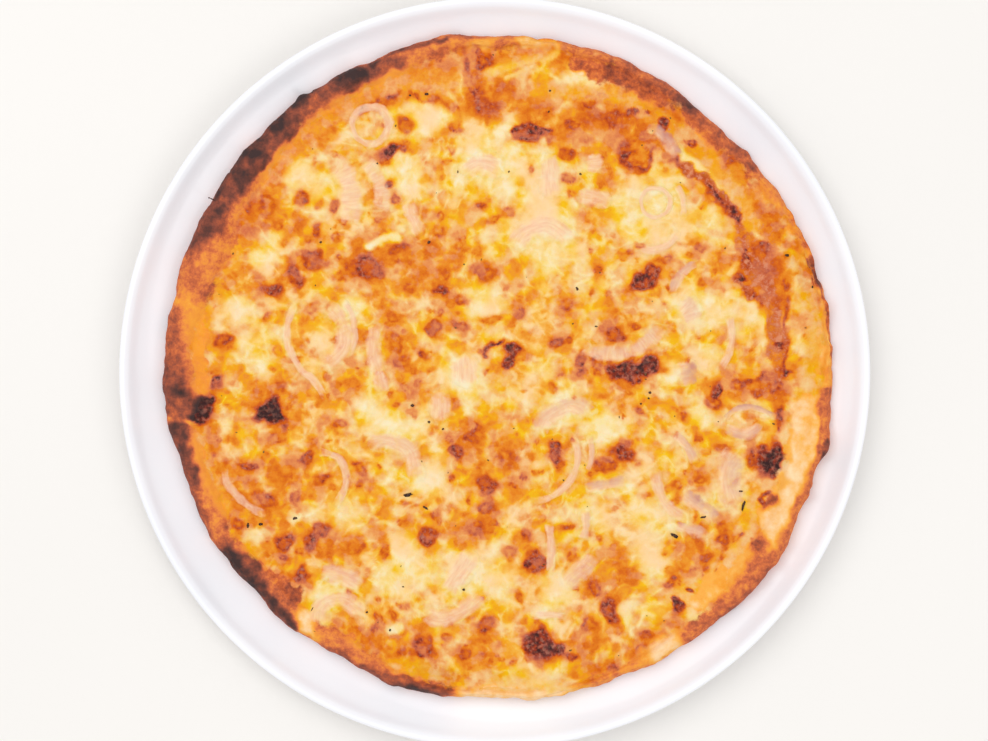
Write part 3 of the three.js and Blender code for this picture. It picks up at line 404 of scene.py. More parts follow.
# Toasting of the rim: points, half width, softness, and how far, from 0, pale, over 0.5, brown, to 1,
# char.
TOAST_STROKES = [
    ([(-129, 53), (-124, 61), (-118.5, 71), (-113, 78.5)], 5, 2.4, 0.82),
    ([(-113, 78.5), (-107, 85), (-100, 94), (-92, 103.5), (-86, 109)], 6, 2, 0.84),
    ([(-86, 110), (-78, 115), (-66, 121), (-52, 128)], 4.5, 3, 0.77),
    ([(-97, 104), (-88, 112), (-76, 121), (-62, 129)], 1.6, 2, 0.86),
    ([(-107.5, 81), (-106.5, 82.5)], 3.2, 2.2, 0.93),
    ([(-101, 89.5), (-100.4, 91)], 3.4, 2.2, 0.93),
    ([(-93.4, 104.6), (-92.4, 105.6)], 2.6, 2, 0.93),
    ([(-118, 76), (-110, 89), (-100, 101)], 1.6, 2.5, 0.92),
    ([(-84, 114), (-80, 119)], 2.6, 2, 1.0),
    ([(-63, 124), (-58, 127)], 3, 2.5, 1.0),
    ([(-52, 131), (-44, 134)], 1.2, 1, 0.95),
    ([(-93, 91.2), (-92, 92.2)], 2.2, 2, 0.68),
    ([(-82, 104.5), (-79, 107)], 2.6, 2, 0.68),
    ([(-67, 114.5), (-64.5, 115.5)], 2.6, 2, 0.7),
    ([(-130, 49.5), (-125, 55), (-118, 62)], 3, 3, 0.87),
    ([(-132, 46), (-127, 36)], 6, 5, 0.6),
    ([(-118, 50), (-116, 38)], 6, 5, 0.5),
    ([(-121, 33), (-119, 38)], 1.8, 1.5, 0.75),
    ([(-134, 28), (-126, 22)], 5, 5, 0.42),
    ([(-138, 24), (-138, 10), (-137, 0)], 4.2, 2.6, 0.71),
    ([(-137, 0), (-135, -10), (-129, -16)], 6, 3.5, 0.75),
    ([(-134, -9), (-130, -16)], 3.5, 3, 0.84),
    ([(-140, 2), (-140, -16)], 1.4, 1.6, 0.82),
    ([(-124.8, -14.6), (-125.4, -18)], 4.4, 1.6, 1.03),
    ([(-138, -19.5), (-131, -21), (-124, -23)], 0.9, 0.8, 0.28),
    ([(-135.5, -23), (-132, -36), (-128.5, -46)], 3.8, 2.6, 0.87),
    ([(-131, -46), (-128, -55), (-122.5, -67)], 2.6, 2.4, 0.74),
    ([(-114, -66), (-106, -76)], 6, 4, 0.58),
    ([(88, 107), (96, 99), (104, 90), (109, 83)], 4.2, 3, 0.66),
    ([(141, -8), (140.4, -20), (138.6, -33), (137, -41)], 2, 1.6, 0.83),
    ([(-98, -86), (-86, -96)], 4.4, 4, 0.66),
    ([(-115.5, -75), (-109.5, -82), (-103, -90)], 3, 3.6, 0.86),
    ([(-113, -77), (-107, -85), (-101, -92)], 2.6, 3, 1.0),
    ([(-104, -79), (-101.5, -83)], 3, 2.6, 0.84),
    ([(-102, -90), (-96.5, -97.5), (-90.2, -104), (-86.5, -107)], 2.8, 2.2, 0.92),
    ([(-77, -97), (-76, -104), (-73, -109)], 3.4, 2.5, 0.04),
    ([(-80.5, -103), (-79, -109), (-77, -112)], 2.6, 2.4, 0.1),
    ([(-72, -109), (-60, -114), (-46, -121)], 5.5, 4, 0.56),
    ([(-70, -118), (-56, -126)], 1.5, 1.5, 0.75),
    ([(-40, -124.5), (-24, -129)], 2.8, 2, 0.36),
    ([(-56, -127), (-45, -131)], 2, 2, 0.8),
    ([(-46, -130.5), (-34, -132.5), (-20, -135)], 3.1, 2.8, 0.78),
    ([(-46, -133), (-34, -135.5), (-24, -137.5)], 1.4, 1.8, 0.94),
    ([(-10, -138), (0, -138), (20, -137), (36, -133)], 4.6, 5, 0.12),
    ([(38, -131), (48, -127), (58, -122)], 4.2, 4, 0.5),
    ([(58, -125), (68, -120)], 3, 3, 0.42),
    ([(70, -118), (80, -112)], 4, 3, 0.1),
    ([(84, -112), (96, -103), (106, -92), (114, -82)], 5.6, 3.6, 0.62),
    ([(90, -114), (101, -105), (111, -93), (120, -80)], 2.2, 2.5, 0.74),
    ([(112, -69), (118, -60), (124, -48), (129, -30), (130, -18)], 7.5, 4, 0.14),
    ([(84, -98), (94, -90), (103, -80)], 4, 3, 0.26),
    ([(120, -79), (126.5, -66), (132.5, -54), (136, -42)], 3, 1.8, 0.58),
    ([(111.8, -73.5), (112.4, -72.5)], 3.4, 3.6, 0.7),
    ([(104.5, -69), (100.7, -73.3), (96.2, -79.4), (93.9, -88.5)], 0.9, 1, 0.62),
    ([(136, -10), (136, -20)], 3, 3, 0.24),
    ([(139.5, -38), (140.5, -24), (141, -10)], 3, 1.6, 0.6),
    ([(140.5, -38), (141.5, -30)], 1.8, 0.8, 0.88),
    ([(140, 8), (139, 24), (136, 38)], 3.6, 3, 0.36),
    ([(144, 6), (142.5, 22), (139.5, 36)], 0.9, 0.8, 0.7),
    ([(134.5, 47), (138.5, 38)], 2.2, 1.6, 0.82),
    ([(131, 56), (123, 72), (112, 86)], 3.6, 3.5, 0.5),
    ([(110, 88), (103, 97)], 2.4, 2, 0.8),
    ([(106, 92), (95, 104), (84, 113), (70, 121)], 4, 3, 0.69),
    ([(84, 112), (80, 116)], 2.4, 2, 0.82),
    ([(70, 116), (54, 126), (36, 132.5)], 5.5, 3, 0.7),
    ([(30, 136), (44, 133)], 3, 3, 0.6),
    ([(24, 137), (12, 139), (8, 132)], 4.5, 3, 0.25),
    ([(36, 126), (28, 127)], 2.6, 2, 0.08),
    ([(2, 139), (8, 137)], 3, 2.5, 0.56),
    ([(-6, 134), (-2, 130)], 2.2, 2.5, 0.76),
    ([(-20, 137), (-30, 133)], 4, 3.5, 0.56),
    ([(-22, 137), (-27, 134.5)], 1.8, 2, 0.7),
    ([(-30, 140), (-44, 133)], 3.4, 3, 0.55),
    ([(-41, 130.5), (-47, 130)], 3.2, 2, 0.8),
    ([(3, 139), (7, 138)], 1.6, 2, 0.66),
    ([(-20, 142), (-32, 140), (-46, 135)], 1, 1, 0.82),
    ([(-84, -91), (-88, -94.5)], 3.2, 3, 0.74),
    ([(112, -48), (109, -62), (103, -72), (98, -84)], 4, 3, 0.3),
    ([(115, -54.8), (117, -54)], 3.4, 2.2, 0.78),
]


def mottle(seed, size, coarse=0.0):
    """Random blobs about size mm across, mean 0 and spread 1: white noise whose spectrum is
    multiplied by exp(-2 (pi s f)^2), with s = 0.35 size, less the same for the coarse size."""
    white = np.random.default_rng(seed).standard_normal(CANVAS_X.shape)
    f = np.fft.fftfreq(len(CANVAS_AXIS), CANVAS_STEP)
    squares = f[:, None] ** 2 + f[None, :] ** 2
    fade = np.exp(-2 * (np.pi * 0.35 * size) ** 2 * squares)
    if coarse:
        fade = fade - np.exp(-2 * (np.pi * 0.35 * coarse) ** 2 * squares)
    field = np.fft.ifft2(np.fft.fft2(white) * fade).real
    return (field - field.mean()) / field.std()


def ease(low, high, value):
    """0 at low and 1 at high, which may be the smaller, with 3t^2 - 2t^3 in between."""
    t = np.clip((value - low) / (high - low), 0, 1)
    return t * t * (3 - 2 * t)


def window(x, y, reach):
    """The rows and columns of the canvas within reach of a point."""
    first = [max(0, int((c - reach + CANVAS_HALF) / CANVAS_STEP)) for c in (y, x)]
    last = [int((c + reach + CANVAS_HALF) / CANVAS_STEP) + 2 for c in (y, x)]
    return slice(first[0], last[0]), slice(first[1], last[1])


# Edges wander: a mark is measured on places that are pushed about by up to about a millimetre.
WANDER_X = CANVAS_X + 0.5 * mottle(1, 4) + 0.16 * mottle(2, 1.6)
WANDER_Y = CANVAS_Y + 0.5 * mottle(3, 4) + 0.16 * mottle(4, 1.6)


def oval(x, y, across, high, turn):
    """The window round a ragged oval, and in it the distance from its middle in half widths."""
    area = window(x, y, 2.6 * max(across, high) + 3)
    dx, dy = WANDER_X[area] - x, WANDER_Y[area] - y
    c, s = np.cos(np.radians(turn)), np.sin(np.radians(turn))
    return area, np.hypot((dx * c + dy * s) / across, (dy * c - dx * s) / high)


def track(points, reach):
    """The window round a line through the points, and in it the distance from the line in mm."""
    points = np.asarray(points, float)
    middle = (points.max(0) + points.min(0)) / 2
    area = window(*middle, np.ptp(points, axis=0).max() / 2 + reach)
    x, y = WANDER_X[area], WANDER_Y[area]
    nearest = np.full(x.shape, np.inf)
    for start, end in zip(points[:-1], points[1:]):
        step = end - start
        share = np.clip(((x - start[0]) * step[0] + (y - start[1]) * step[1]) / (step @ step), 0, 1)
        apart = np.hypot(x - start[0] - share * step[0], y - start[1] - share * step[1])
        nearest = np.minimum(nearest, apart)
    return area, nearest


def swell(rows, degrees):
    """The sum over rows of amount * exp(-(turn / spread)^2), where turn is the angle from the row's."""
    turns = [(degrees - angle + 180) % 360 - 180 for angle, _, _ in rows]
    bells = [row[2] * np.exp(-((turn / row[1]) ** 2)) for turn, row in zip(turns, rows)]
    return sum(bells)


def outline(degrees):
    """The pizza's radius at an angle."""
    return PIZZA_RADIUS + swell(OUTLINE_SWELLS, degrees)


def rim_width(degrees):
    """The width of bare rim at an angle."""
    return RIM_NARROWEST + swell(RIM_SWELLS, degrees)


def painted(field, x, y):
    """A canvas field at places in mm, blended from the four cells round each."""
    column = np.clip((x + CANVAS_HALF) / CANVAS_STEP, 0, len(CANVAS_AXIS) - 1.001)
    row = np.clip((y + CANVAS_HALF) / CANVAS_STEP, 0, len(CANVAS_AXIS) - 1.001)
    i, j = row.astype(int), column.astype(int)
    u, v = column - j, row - i
    low = (1 - u) * field[i, j] + u * field[i, j + 1]
    return (1 - v) * low + v * ((1 - u) * field[i + 1, j] + u * field[i + 1, j + 1])


DEGREES = np.degrees(np.arctan2(CANVAS_Y - PIZZA_Y, CANVAS_X - PIZZA_X)) % 360
INSET = outline(DEGREES) - np.hypot(CANVAS_X - PIZZA_X, CANVAS_Y - PIZZA_Y)


def cheese_inset(degrees):
    """Where the cheese ends on the rim, in mm in from the outline: the bare width less 1, wandering
    by the mottle along a circle near the rim."""
    x = PIZZA_X + WANDER_RADIUS * np.cos(np.radians(degrees))
    y = PIZZA_Y + WANDER_RADIUS * np.sin(np.radians(degrees))
    return rim_width(degrees) - 1 + painted(border_wander, x, y)


border_wander = 1.2 * mottle(11, 14) + 0.35 * mottle(12, 5)
inward = INSET - cheese_inset(DEGREES)
bare = ease(2.6, -2.6, inward + 0.9 * mottle(13, 3.5))
near_rim = ease(11, 2, inward)

# Patches of browning: the patches' average level, weighted by exp(-(distance / (0.85 reach))^2).
weights = np.full(CANVAS_X.shape, 0.12)
browning = (0.34 + 0.12 * near_rim) * weights
for x, y, reach, level in PATCHES:
    weight = np.exp(-((CANVAS_X - x) ** 2 + (CANVAS_Y - y) ** 2) / (0.85 * reach) ** 2)
    browning += weight * level
    weights += weight
browning /= weights
browning = PATCH_LEVEL + PATCH_CONTRAST * (browning - PATCH_MEAN)
patch = browning.copy()

# Melted strands: pale lines along the zero crossings of a mottle, and shreds that kept their shape,
# bent strokes by a seeded draw, with oranger cells between them.
strands = 0.7 * np.exp(-(mottle(61, 8) / 0.2) ** 2) + 0.1 * mottle(63, 2.4)
draw = np.random.default_rng(31)
for _ in range(SHRED_COUNT):
    away, angle = SHRED_REACH * np.sqrt(draw.random()), 2 * np.pi * draw.random()
    x, y = PIZZA_X + away * np.cos(angle), PIZZA_Y + away * np.sin(angle)
    half, way, bend = draw.uniform(1.5, 4.5), draw.uniform(0, 2 * np.pi), draw.uniform(-1.1, 1.1)
    shred = [(x + side * half * np.cos(way + side * bend), y + side * half * np.sin(way + side * bend))
             for side in (-1, 0, 1)]
    thick = draw.uniform(0.5, 1.0)
    area, apart = track(shred, 2 * thick + 1)
    shape = draw.uniform(0.5, 1) * ease(1.7 * thick, 0.3 * thick, apart)
    strands[area] = np.maximum(strands[area], shape)
pockets = ease(0.1, 1.4, mottle(64, 3.4))
browning += 0.04 * mottle(21, 6, 16) + 0.02 * mottle(22, 2.6, 7)
calm = 0.6 + 0.4 * ease(0.1, 0.3, patch)
browning += (0.13 * pockets + 0.26 * (0.27 - strands)) * ease(0.75, 0.3, browning) * calm
lift = 0.14 * mottle(23, 5, 18) + 0.05 * mottle(24, 2.4, 8) + 0.35 * strands

# Small blisters strewn by a seeded draw, then all of them from the palest to the darkest.
strewn = []
for _ in range(STREWN_BLISTERS):
    away, angle = STREWN_REACH * np.sqrt(draw.random()), 2 * np.pi * draw.random()
    x, y = PIZZA_X + away * np.cos(angle), PIZZA_Y + away * np.sin(angle)
    across = draw.uniform(0.8, 2.0)
    row = (x, y, across, across * draw.uniform(0.6, 1.1), draw.uniform(0, 180), draw.uniform(0.05, 0.42))
    if painted(patch, np.array(x), np.array(y)) > 0.19:
        strewn.append(row)
grain, ragged = mottle(41, 1.8), mottle(42, 4)
for x, y, across, high, turn, dark in sorted(strewn + BLISTERS, key=lambda row: row[5]):
    area, away = oval(x, y, across, high, turn)
    size = np.sqrt(across * high)
    away += 0.16 * ragged[area]
    inside = ease(1.28, 0.66, away)
    halo = np.exp(-((np.maximum(away - 0.8, 0) / (0.4 + 1.1 / size)) ** 2)) * min(1, dark / 0.45)
    browning[area] += np.maximum(0.5 + 0.15 * dark - browning[area], 0) * 0.85 * halo
    rim_line = 0.13 * np.exp(-(((away - 0.8) / 0.25) ** 2)) * ease(-0.8, 0.8, ragged[area])
    # Blisters short of char get a paler middle: a painted highlight on the top of the dome.
    highlight_middle = 0.07 * np.exp(-((away / 0.6) ** 2)) * (dark < 0.9)
    level = 0.5 + 0.34 * dark + 0.1 * dark ** 8 + rim_line - highlight_middle + 0.045 * grain[area]
    browning[area] += inside * np.maximum(level - browning[area], 0)
    dome = 0.3 * size * (0.45 + 0.55 * dark) * ease(1.1, 0.1, away)
    lift[area] += dome + 0.12 * inside * grain[area] * dark
for points, half, dark in BROWN_STROKES:
    area, away = track(points, 4 * half + 2)
    halo = np.exp(-((np.maximum(away - half, 0) / (0.8 * half)) ** 2))
    browning[area] += np.maximum(0.5 - browning[area], 0) * 0.8 * halo
    inside = ease(1.5 * half, 0.4 * half, away + 0.35 * half * ragged[area])
    level = 0.47 + 0.5 * dark + 0.1 * ragged[area] + 0.06 * grain[area]
    browning[area] += inside * np.maximum(level - browning[area], 0)
for points, half, dark in PALE_STROKES:
    area, away = track(points, 3 * half + 2)
    inside = ease(1.5 * half, 0.4 * half, away)
    browning[area] += inside * (dark + 0.04 * ragged[area] - browning[area])
    lift[area] += 0.5 * inside
sauce = np.zeros_like(lift)
for points, half, strength in SAUCE_STROKES:
    area, away = track(points, 3 * half + 2)
    away += 0.24 * half * ragged[area]
    sauce[area] = np.maximum(sauce[area], strength * ease(1.6 * half, 0.4 * half, away))
browning += np.maximum(0.56 - browning, 0) * ease(0.05, 0.4, sauce)
sauce *= ease(0.95, 0.75, browning)
lift -= 0.5 * sauce
oil = np.zeros_like(lift)
for points, half in OIL_STROKES:
    area, away = track(points, 3 * half + 2)
    oil[area] = np.maximum(oil[area], ease(1.6 * half, 0.5 * half, away))
along_rim = ease(9, 3, inward + 1.2 * ragged)
sunny = 0.4 - 0.06 * CANVAS_X / PIZZA_RADIUS + 0.06 * CANVAS_Y / PIZZA_RADIUS
browning += np.maximum(0.9 * oil, 0.6 * along_rim) * np.maximum(sunny - browning, 0)
browning += 0.7 * oil * np.minimum(sunny - browning, 0) * ease(0.8, 0.65, browning)
for points, half in THIN_STROKES:
    area, away = track(points, 3 * half + 2)
    bare[area] = np.maximum(bare[area], ease(1.4 * half, 0.6 * half, away + ragged[area]))
lift *= 1 - 0.6 * oil
lift = 1.5 * np.tanh(lift / 1.5)

toast = 0.455 - 0.08 * CANVAS_X / PIZZA_RADIUS + 0.16 * ease(2.2, 0.4, INSET) + 0.05 * mottle(51, 6)
for points, half, soft, level in TOAST_STROKES:
    area, away = track(points, half + 2 * soft + 2)
    toast[area] += ease(half + soft, half - 0.8 * soft, away) * (level - toast[area])
amber = 0.35 - 0.05 * CANVAS_X / PIZZA_RADIUS
toast += 0.9 * oil * (amber - toast) * ease(0.82, 0.7, toast)
toast += (0.035 * mottle(53, 3.5) + 0.02 * grain) * (1 - 0.6 * oil)

# The crust: one round of yeasted wheat dough, pressed out thin with its rim left thick, and baked on
# the oven's stone. The rim puffed up, cracked and toasted, with charred bubbles where it was thinnest.
DOUGH_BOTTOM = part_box("crust")[0].z / MM
DOUGH_BASE = 4.0
RIM_LOWEST = 6.2
RIM_RISE_PER_WIDTH = 0.33
CLIMB_WIDTH = 7.0
CHEESE_SHARE = 0.62
CRUST_COLUMNS = 1000
# Rows of the mesh between neighbouring points of the dough's section.
SECTION_ROWS = [3, 5, 5, 6, 6, 7, 9, 10, 9, 8, 7, 3]
# Charred bubbles on the rim: x, y, radius, rise.
RIM_BUBBLES = [
    (-124.8, -16, 5.5, 1.6), (-104.5, 87, 6, 1.3), (-82, 117, 4.5, 1.2), (-60.5, 125.5, 5, 1.2),
    (-122, 63, 5, 0.9), (-49, 132.5, 3.5, 0.8), (107, 93, 3.5, 0.7), (136.5, 43, 3.5, 0.9),
    (-93, -101, 4, 1), (-104, -86, 5, 0.8), (-45, -131, 5, 0.6), (133, -52, 3, 0.4), (-137, -8, 5, 0.8),
]
CHEESE_BROWNING = [
    (0.0, "F3E0B0"), (0.1, "F3D896"), (0.22, "F1CB74"), (0.34, "EEB758"), (0.45, "EBA03A"),
    (0.55, "E38426"), (0.65, "D26418"), (0.74, "BC4E1E"), (0.82, "A03C20"), (0.9, "7A2C1E"),
    (0.96, "58221C"), (1.0, "381A1A"),
]
DOUGH_TOASTING = [
    (0.0, "FCE0B4"), (0.12, "FACC92"), (0.25, "F6B450"), (0.38, "F39D2C"), (0.5, "E88636"),
    (0.6, "D26A36"), (0.7, "B45630"), (0.8, "8E442E"), (0.9, "603024"), (1.0, "38201E"),
]
SAUCE_COLOURS = [(0.36, "96361A"), (0.5, "C05426"), (0.64, "DC8A60")]
# The peach of milky cheese, and a pinkish white painted on blisters and sauce as highlights that stand in
# for glints of light on their gloss.
PEACH, PAINTED_GLINT = "F8CC98", "CC8870"


def crust_section(degrees):
    """Inset from the outline and height over the dough's bottom, as rows by columns: straight lines
    between the section's points, rounded by averaging each row with its neighbours three times."""
    wide = rim_width(degrees)
    tall = RIM_LOWEST + RIM_RISE_PER_WIDTH * wide
    points = [
        (15, 0), (8, 0), (3, 0.35), (0.9, 0.14 * tall), (0, 0.38 * tall), (0.4, 0.66 * tall),
        (0.8 + 0.12 * wide, 0.9 * tall), (0.45 * wide, tall), (0.74 * wide, 0.88 * tall),
        (wide, CHEESE_SHARE * tall), (wide + CLIMB_WIDTH, DOUGH_BASE),
        (wide + CLIMB_WIDTH + 12, DOUGH_BASE), (wide + CLIMB_WIDTH + 30, DOUGH_BASE),
    ]
    flat = 0 * degrees
    corners = np.array([[inset + flat, height + flat] for inset, height in points])
    steps = [np.arange(count) / count for count in SECTION_ROWS]
    lines = [a + (b - a) * t[:, None, None] for a, b, t in zip(corners[:-1], corners[1:], steps)]
    rows = np.concatenate([*lines, corners[-1:]])
    for _ in range(3):
        rows[1:-1] = (rows[:-2] + 2 * rows[1:-1] + rows[2:]) / 4
    return rows[:, 0], rows[:, 1]


def baked_colour(tree, place):
    """The colours of cheese and dough from the marks, with mottle of 1.8 mm and crumbs of 1.6 mm on
    them, and pinkish-white specks of 1.5 mm painted as highlights on blisters and sauce, mixed where
    the dough is bare. Gives the colour and how far the dough is bare."""
    fine = add(tree, "TexNoise", {
        "Vector": place, "Scale": 1 / (1.8 * MM), "Detail": 3.0, "Roughness": 0.65,
    })
    marks = {name: add(tree, "Attribute", attribute_name=name).outputs["Fac"]
             for name in ("browning", "toast", "bare", "sauce", "peach", "oil")}
    flutter = add(tree, "Math", {0: fine, 1: 0.5}, operation="SUBTRACT")
    browned = add(tree, "Math", {0: flutter, 1: 0.22, 2: marks["browning"]}, operation="MULTIPLY_ADD")
    crumb = add(tree, "TexNoise", {"Vector": place, "Scale": 1 / (1.6 * MM), "Detail": 2.0})
    crumbly = add(tree, "MapRange", {
        "Value": marks["browning"], "From Min": 0.58, "From Max": 0.8, "To Max": 0.45,
    })
    even = add(tree, "MapRange", {
        "Value": marks["browning"], "From Min": 0.86, "From Max": 0.97, "To Min": 1.0, "To Max": 0.35,
    })
    crumbly = add(tree, "Math", {0: crumbly, 1: even}, operation="MULTIPLY")
    crumb = add(tree, "Math", {0: crumb, 1: 0.5}, operation="SUBTRACT")
    browned = add(tree, "Math", {0: crumb, 1: crumbly, 2: browned}, operation="MULTIPLY_ADD")
    cheese = add(tree, "ValToRGB", {"Fac": browned}, CHEESE_BROWNING)
    tint = add(tree, "TexNoise", {
        "Vector": place, "Scale": 1 / (8 * MM), "Detail": 3.0, "Roughness": 0.5,
    })
    milky = add(tree, "MapRange", {
        "Value": tint, "From Min": 0.36, "From Max": 0.64, "To Min": 1.22, "To Max": 0.82,
    })
    richest = add(tree, "MapRange", {
        "Value": browned, "From Min": 0.25, "From Max": 0.5, "To Min": 1.22, "To Max": 1.02,
    })
    poorest = add(tree, "MapRange", {
        "Value": browned, "From Min": 0.25, "From Max": 0.5, "To Min": 0.8, "To Max": 0.93,
    })
    rich = add(tree, "Math", {0: milky, 1: richest}, operation="MINIMUM")
    rich = add(tree, "Math", {0: rich, 1: poorest}, operation="MAXIMUM")
    cheese = add(tree, "HueSaturation", {"Color": cheese, "Saturation": rich})
    pale = add(tree, "MapRange", {"Value": browned, "From Min": 0.5, "From Max": 0.2})
    peachy = add(tree, "Math", {0: pale, 1: marks["peach"]}, operation="MULTIPLY")
    cheese = add(tree, "MixRGB", {"Fac": peachy, "Color1": cheese, "Color2": PEACH})
    # Painted highlights: specks of 1.5 mm mixed towards pinkish white on blisters and sauce stand in for
    # glints of light on their gloss. The darkest blisters get fewer.
    highlight_speck = add(tree, "TexNoise", {"Vector": place, "Scale": 1 / (1.5 * MM), "Detail": 2.0})
    painted_glint = add(tree, "MapRange", {"Value": highlight_speck, "From Min": 0.47, "From Max": 0.67, "To Max": 0.5})
    blister = add(tree, "MapRange", {"Value": browned, "From Min": 0.66, "From Max": 0.82})
    pulp = add(tree, "TexNoise", {
        "Vector": place, "Scale": 1 / (3 * MM), "Detail": 4.0, "Roughness": 0.6,
    })
    tomato = add(tree, "ValToRGB", {"Fac": pulp}, SAUCE_COLOURS)
    broken = add(tree, "Math", {0: pulp, 1: 1.5, 2: marks["sauce"]}, operation="MULTIPLY_ADD")
    shown = add(tree, "MapRange", {"Value": broken, "From Min": 1.12, "From Max": 1.45, "To Max": 0.85})
    cheese = add(tree, "MixRGB", {"Fac": shown, "Color1": cheese, "Color2": tomato})
    dark = add(tree, "Math", {0: blister, 1: shown}, operation="MAXIMUM")
    painted_shine = add(tree, "Math", {0: painted_glint, 1: dark}, operation="MULTIPLY")
    painted_shine = add(tree, "Math", {0: painted_shine, 1: even}, operation="MULTIPLY")
    cheese = add(tree, "MixRGB", {"Fac": painted_shine, "Color1": cheese, "Color2": PAINTED_GLINT})
    speckle = add(tree, "MapRange", {
        "Value": marks["toast"], "From Min": 0.2, "From Max": 0.6, "To Min": 0.2, "To Max": 0.55,
    })
    calm = add(tree, "MapRange", {"Value": marks["oil"], "To Min": 1.0, "To Max": 0.4})
    charred = add(tree, "MapRange", {
        "Value": marks["toast"], "From Min": 0.7, "From Max": 0.85, "To Min": 1.0, "To Max": 0.5,
    })
    speckle = add(tree, "Math", {0: speckle, 1: calm}, operation="MULTIPLY")
    speckle = add(tree, "Math", {0: speckle, 1: charred}, operation="MULTIPLY")
    toasted = add(tree, "Math", {0: flutter, 1: speckle, 2: marks["toast"]}, operation="MULTIPLY_ADD")
    dough = add(tree, "ValToRGB", {"Fac": toasted}, DOUGH_TOASTING)
    ragged = add(tree, "Math", {0: flutter, 1: 0.8, 2: marks["bare"]}, operation="MULTIPLY_ADD")
    border = add(tree, "MapRange", {"Value": ragged, "From Min": 0.25, "From Max": 0.75})
    colour = add(tree, "MixRGB", {"Fac": border, "Color1": cheese, "Color2": dough})
    return colour, border


def baked_dough(tree):
    """Dry toasted dough: a matt skin, rough from pores of 0.6 mm and cracks, oily at the cheese."""
    place = add(tree, "TexCoord").outputs["Object"]
    colour, border = baked_colour(tree, place)
    gloss = add(tree, "MapRange", {"Value": border, "To Min": 0.38, "To Max": 0.72})
    pores = add(tree, "TexNoise", {
        "Vector": place, "Scale": 1 / (0.6 * MM), "Detail": 3.0, "Roughness": 0.6,
    })
    bump = add(tree, "Bump", {"Height": pores, "Strength": 0.5, "Distance": 0.35 * MM})
    return {"Base Color": colour, "Roughness": gloss, "IOR": 1.45, "Normal": bump}


def marks_at(x, y):
    """The canvas marks that the shaders of crust, cheese and onion read, at places in mm."""
    fields = {
        "browning": browning, "toast": toast, "bare": bare, "sauce": sauce, "peach": peach, "oil": oil,
    }
    return {name: painted(field, x, y) for name, field in fields.items()}


peach = np.clip(0.08 + 0.3 * mottle(71, 9), 0, 0.7)
crust_turn = np.linspace(0, 2 * np.pi, CRUST_COLUMNS, endpoint=False)
crust_degrees = np.degrees(crust_turn)
inset, crust_height = crust_section(crust_degrees)
# The outline is nibbled by up to a millimetre, less towards the plate's middle.
circle = outline(crust_degrees)
edge_x, edge_y = PIZZA_X + circle * np.cos(crust_turn), PIZZA_Y + circle * np.sin(crust_turn)
nibble = painted(0.4 * mottle(81, 14) + 0.1 * mottle(82, 4), edge_x, edge_y)
crust_radius = circle - inset + nibble * ease(20, 0, inset)

# Below the widest row the section is unrolled outwards on the canvas, so that no mark smears.
slope_in, slope_up = np.gradient(-crust_radius, axis=0), np.gradient(crust_height, axis=0)
length = np.hypot(slope_in, slope_up)
widest = sum(SECTION_ROWS[:5])
travel = np.cumsum(length[:widest + 1][::-1], axis=0)[::-1]
unrolled = crust_radius.copy()
unrolled[:widest + 1] = crust_radius[widest] + travel - travel[-1]
mark_x = PIZZA_X + unrolled * np.cos(crust_turn)
mark_y = PIZZA_Y + unrolled * np.sin(crust_turn)

# Relief along the outward normal: swells, wrinkles and pores of the skin, cracks, and bubbles.
relief = 0.45 * mottle(83, 14) + 0.2 * mottle(84, 6) + 0.08 * mottle(85, 2)
relief -= 0.7 * np.exp(-(mottle(86, 12) / 0.06) ** 2) * ease(0.2, 1.2, mottle(87, 16))
for x, y, reach, rise in RIM_BUBBLES:
    area, away = oval(x, y, reach, reach, 0)
    relief[area] += rise * np.clip(1 - away * away, 0, 1) ** 1.5
on_skin = ease(0.05, 0.3, crust_height / crust_height.max(0))
on_skin[:sum(SECTION_ROWS[:2])] = 0
on_skin *= ease(CLIMB_WIDTH + 2, 0, inset - rim_width(crust_degrees))
stand = painted(relief, mark_x, mark_y) * on_skin
crust_radius += stand * slope_up / length
crust_height = DOUGH_BOTTOM + crust_height + stand * slope_in / length
crust_rings = np.stack([
    PIZZA_X + crust_radius * np.cos(crust_turn),
    PIZZA_Y + crust_radius * np.sin(crust_turn),
    crust_height,
], -1)
crust_rows = len(crust_rings)
crust_size = crust_rows * CRUST_COLUMNS
crust_middles = [[PIZZA_X, PIZZA_Y, DOUGH_BOTTOM], [PIZZA_X, PIZZA_Y, DOUGH_BOTTOM + DOUGH_BASE]]
crust_points = np.concatenate([crust_rings.reshape(-1, 3), crust_middles])
crust_faces = [
    ring_faces(crust_rows, CRUST_COLUMNS),
    cap_faces(np.arange(CRUST_COLUMNS), crust_size, last=False),
    cap_faces(np.arange(CRUST_COLUMNS) + crust_size - CRUST_COLUMNS, crust_size + 1, last=True),
]
crust_marks = {name: np.append(values, [0, 0]) for name, values in marks_at(mark_x, mark_y).items()}
crust_material = new_material("baked wheat dough", baked_dough)
crust = make_piece("baked_crust", crust_points, crust_faces, crust_material, **crust_marks)
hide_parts("crust")

# The cheese: shredded mozzarella and a thin tomato sauce, melted together into one layer over the
# dough. It is thickest inside the rim and thins to a film that climbs the rim's inner slope.
CHEESE_DEPTH = 3.2
CHEESE_DOME = 0.8
FILM_SINK = 0.35
FILM_REACH = 2.6
SWELL_WIDTH = 12.0
CHEESE_RINGS = 176
# The underside's rings: how far in from the film's border, and how far below it or the dough.
UNDERSIDE_INWARDS = [0, 4, 9, 15]
UNDERSIDE_GAPS = [0.6, 0.5, 0.3, 0]


def disc_points(rings):
    """The ring number and the share of a turn of each point of a disc whose ring k holds 6k points."""
    ring = np.repeat(np.arange(1, rings + 1), 6 * np.arange(1, rings + 1))
    start = 3 * ring * (ring - 1)
    return np.append(0, ring), np.append(0, (np.arange(len(ring)) - start) / (6 * ring))


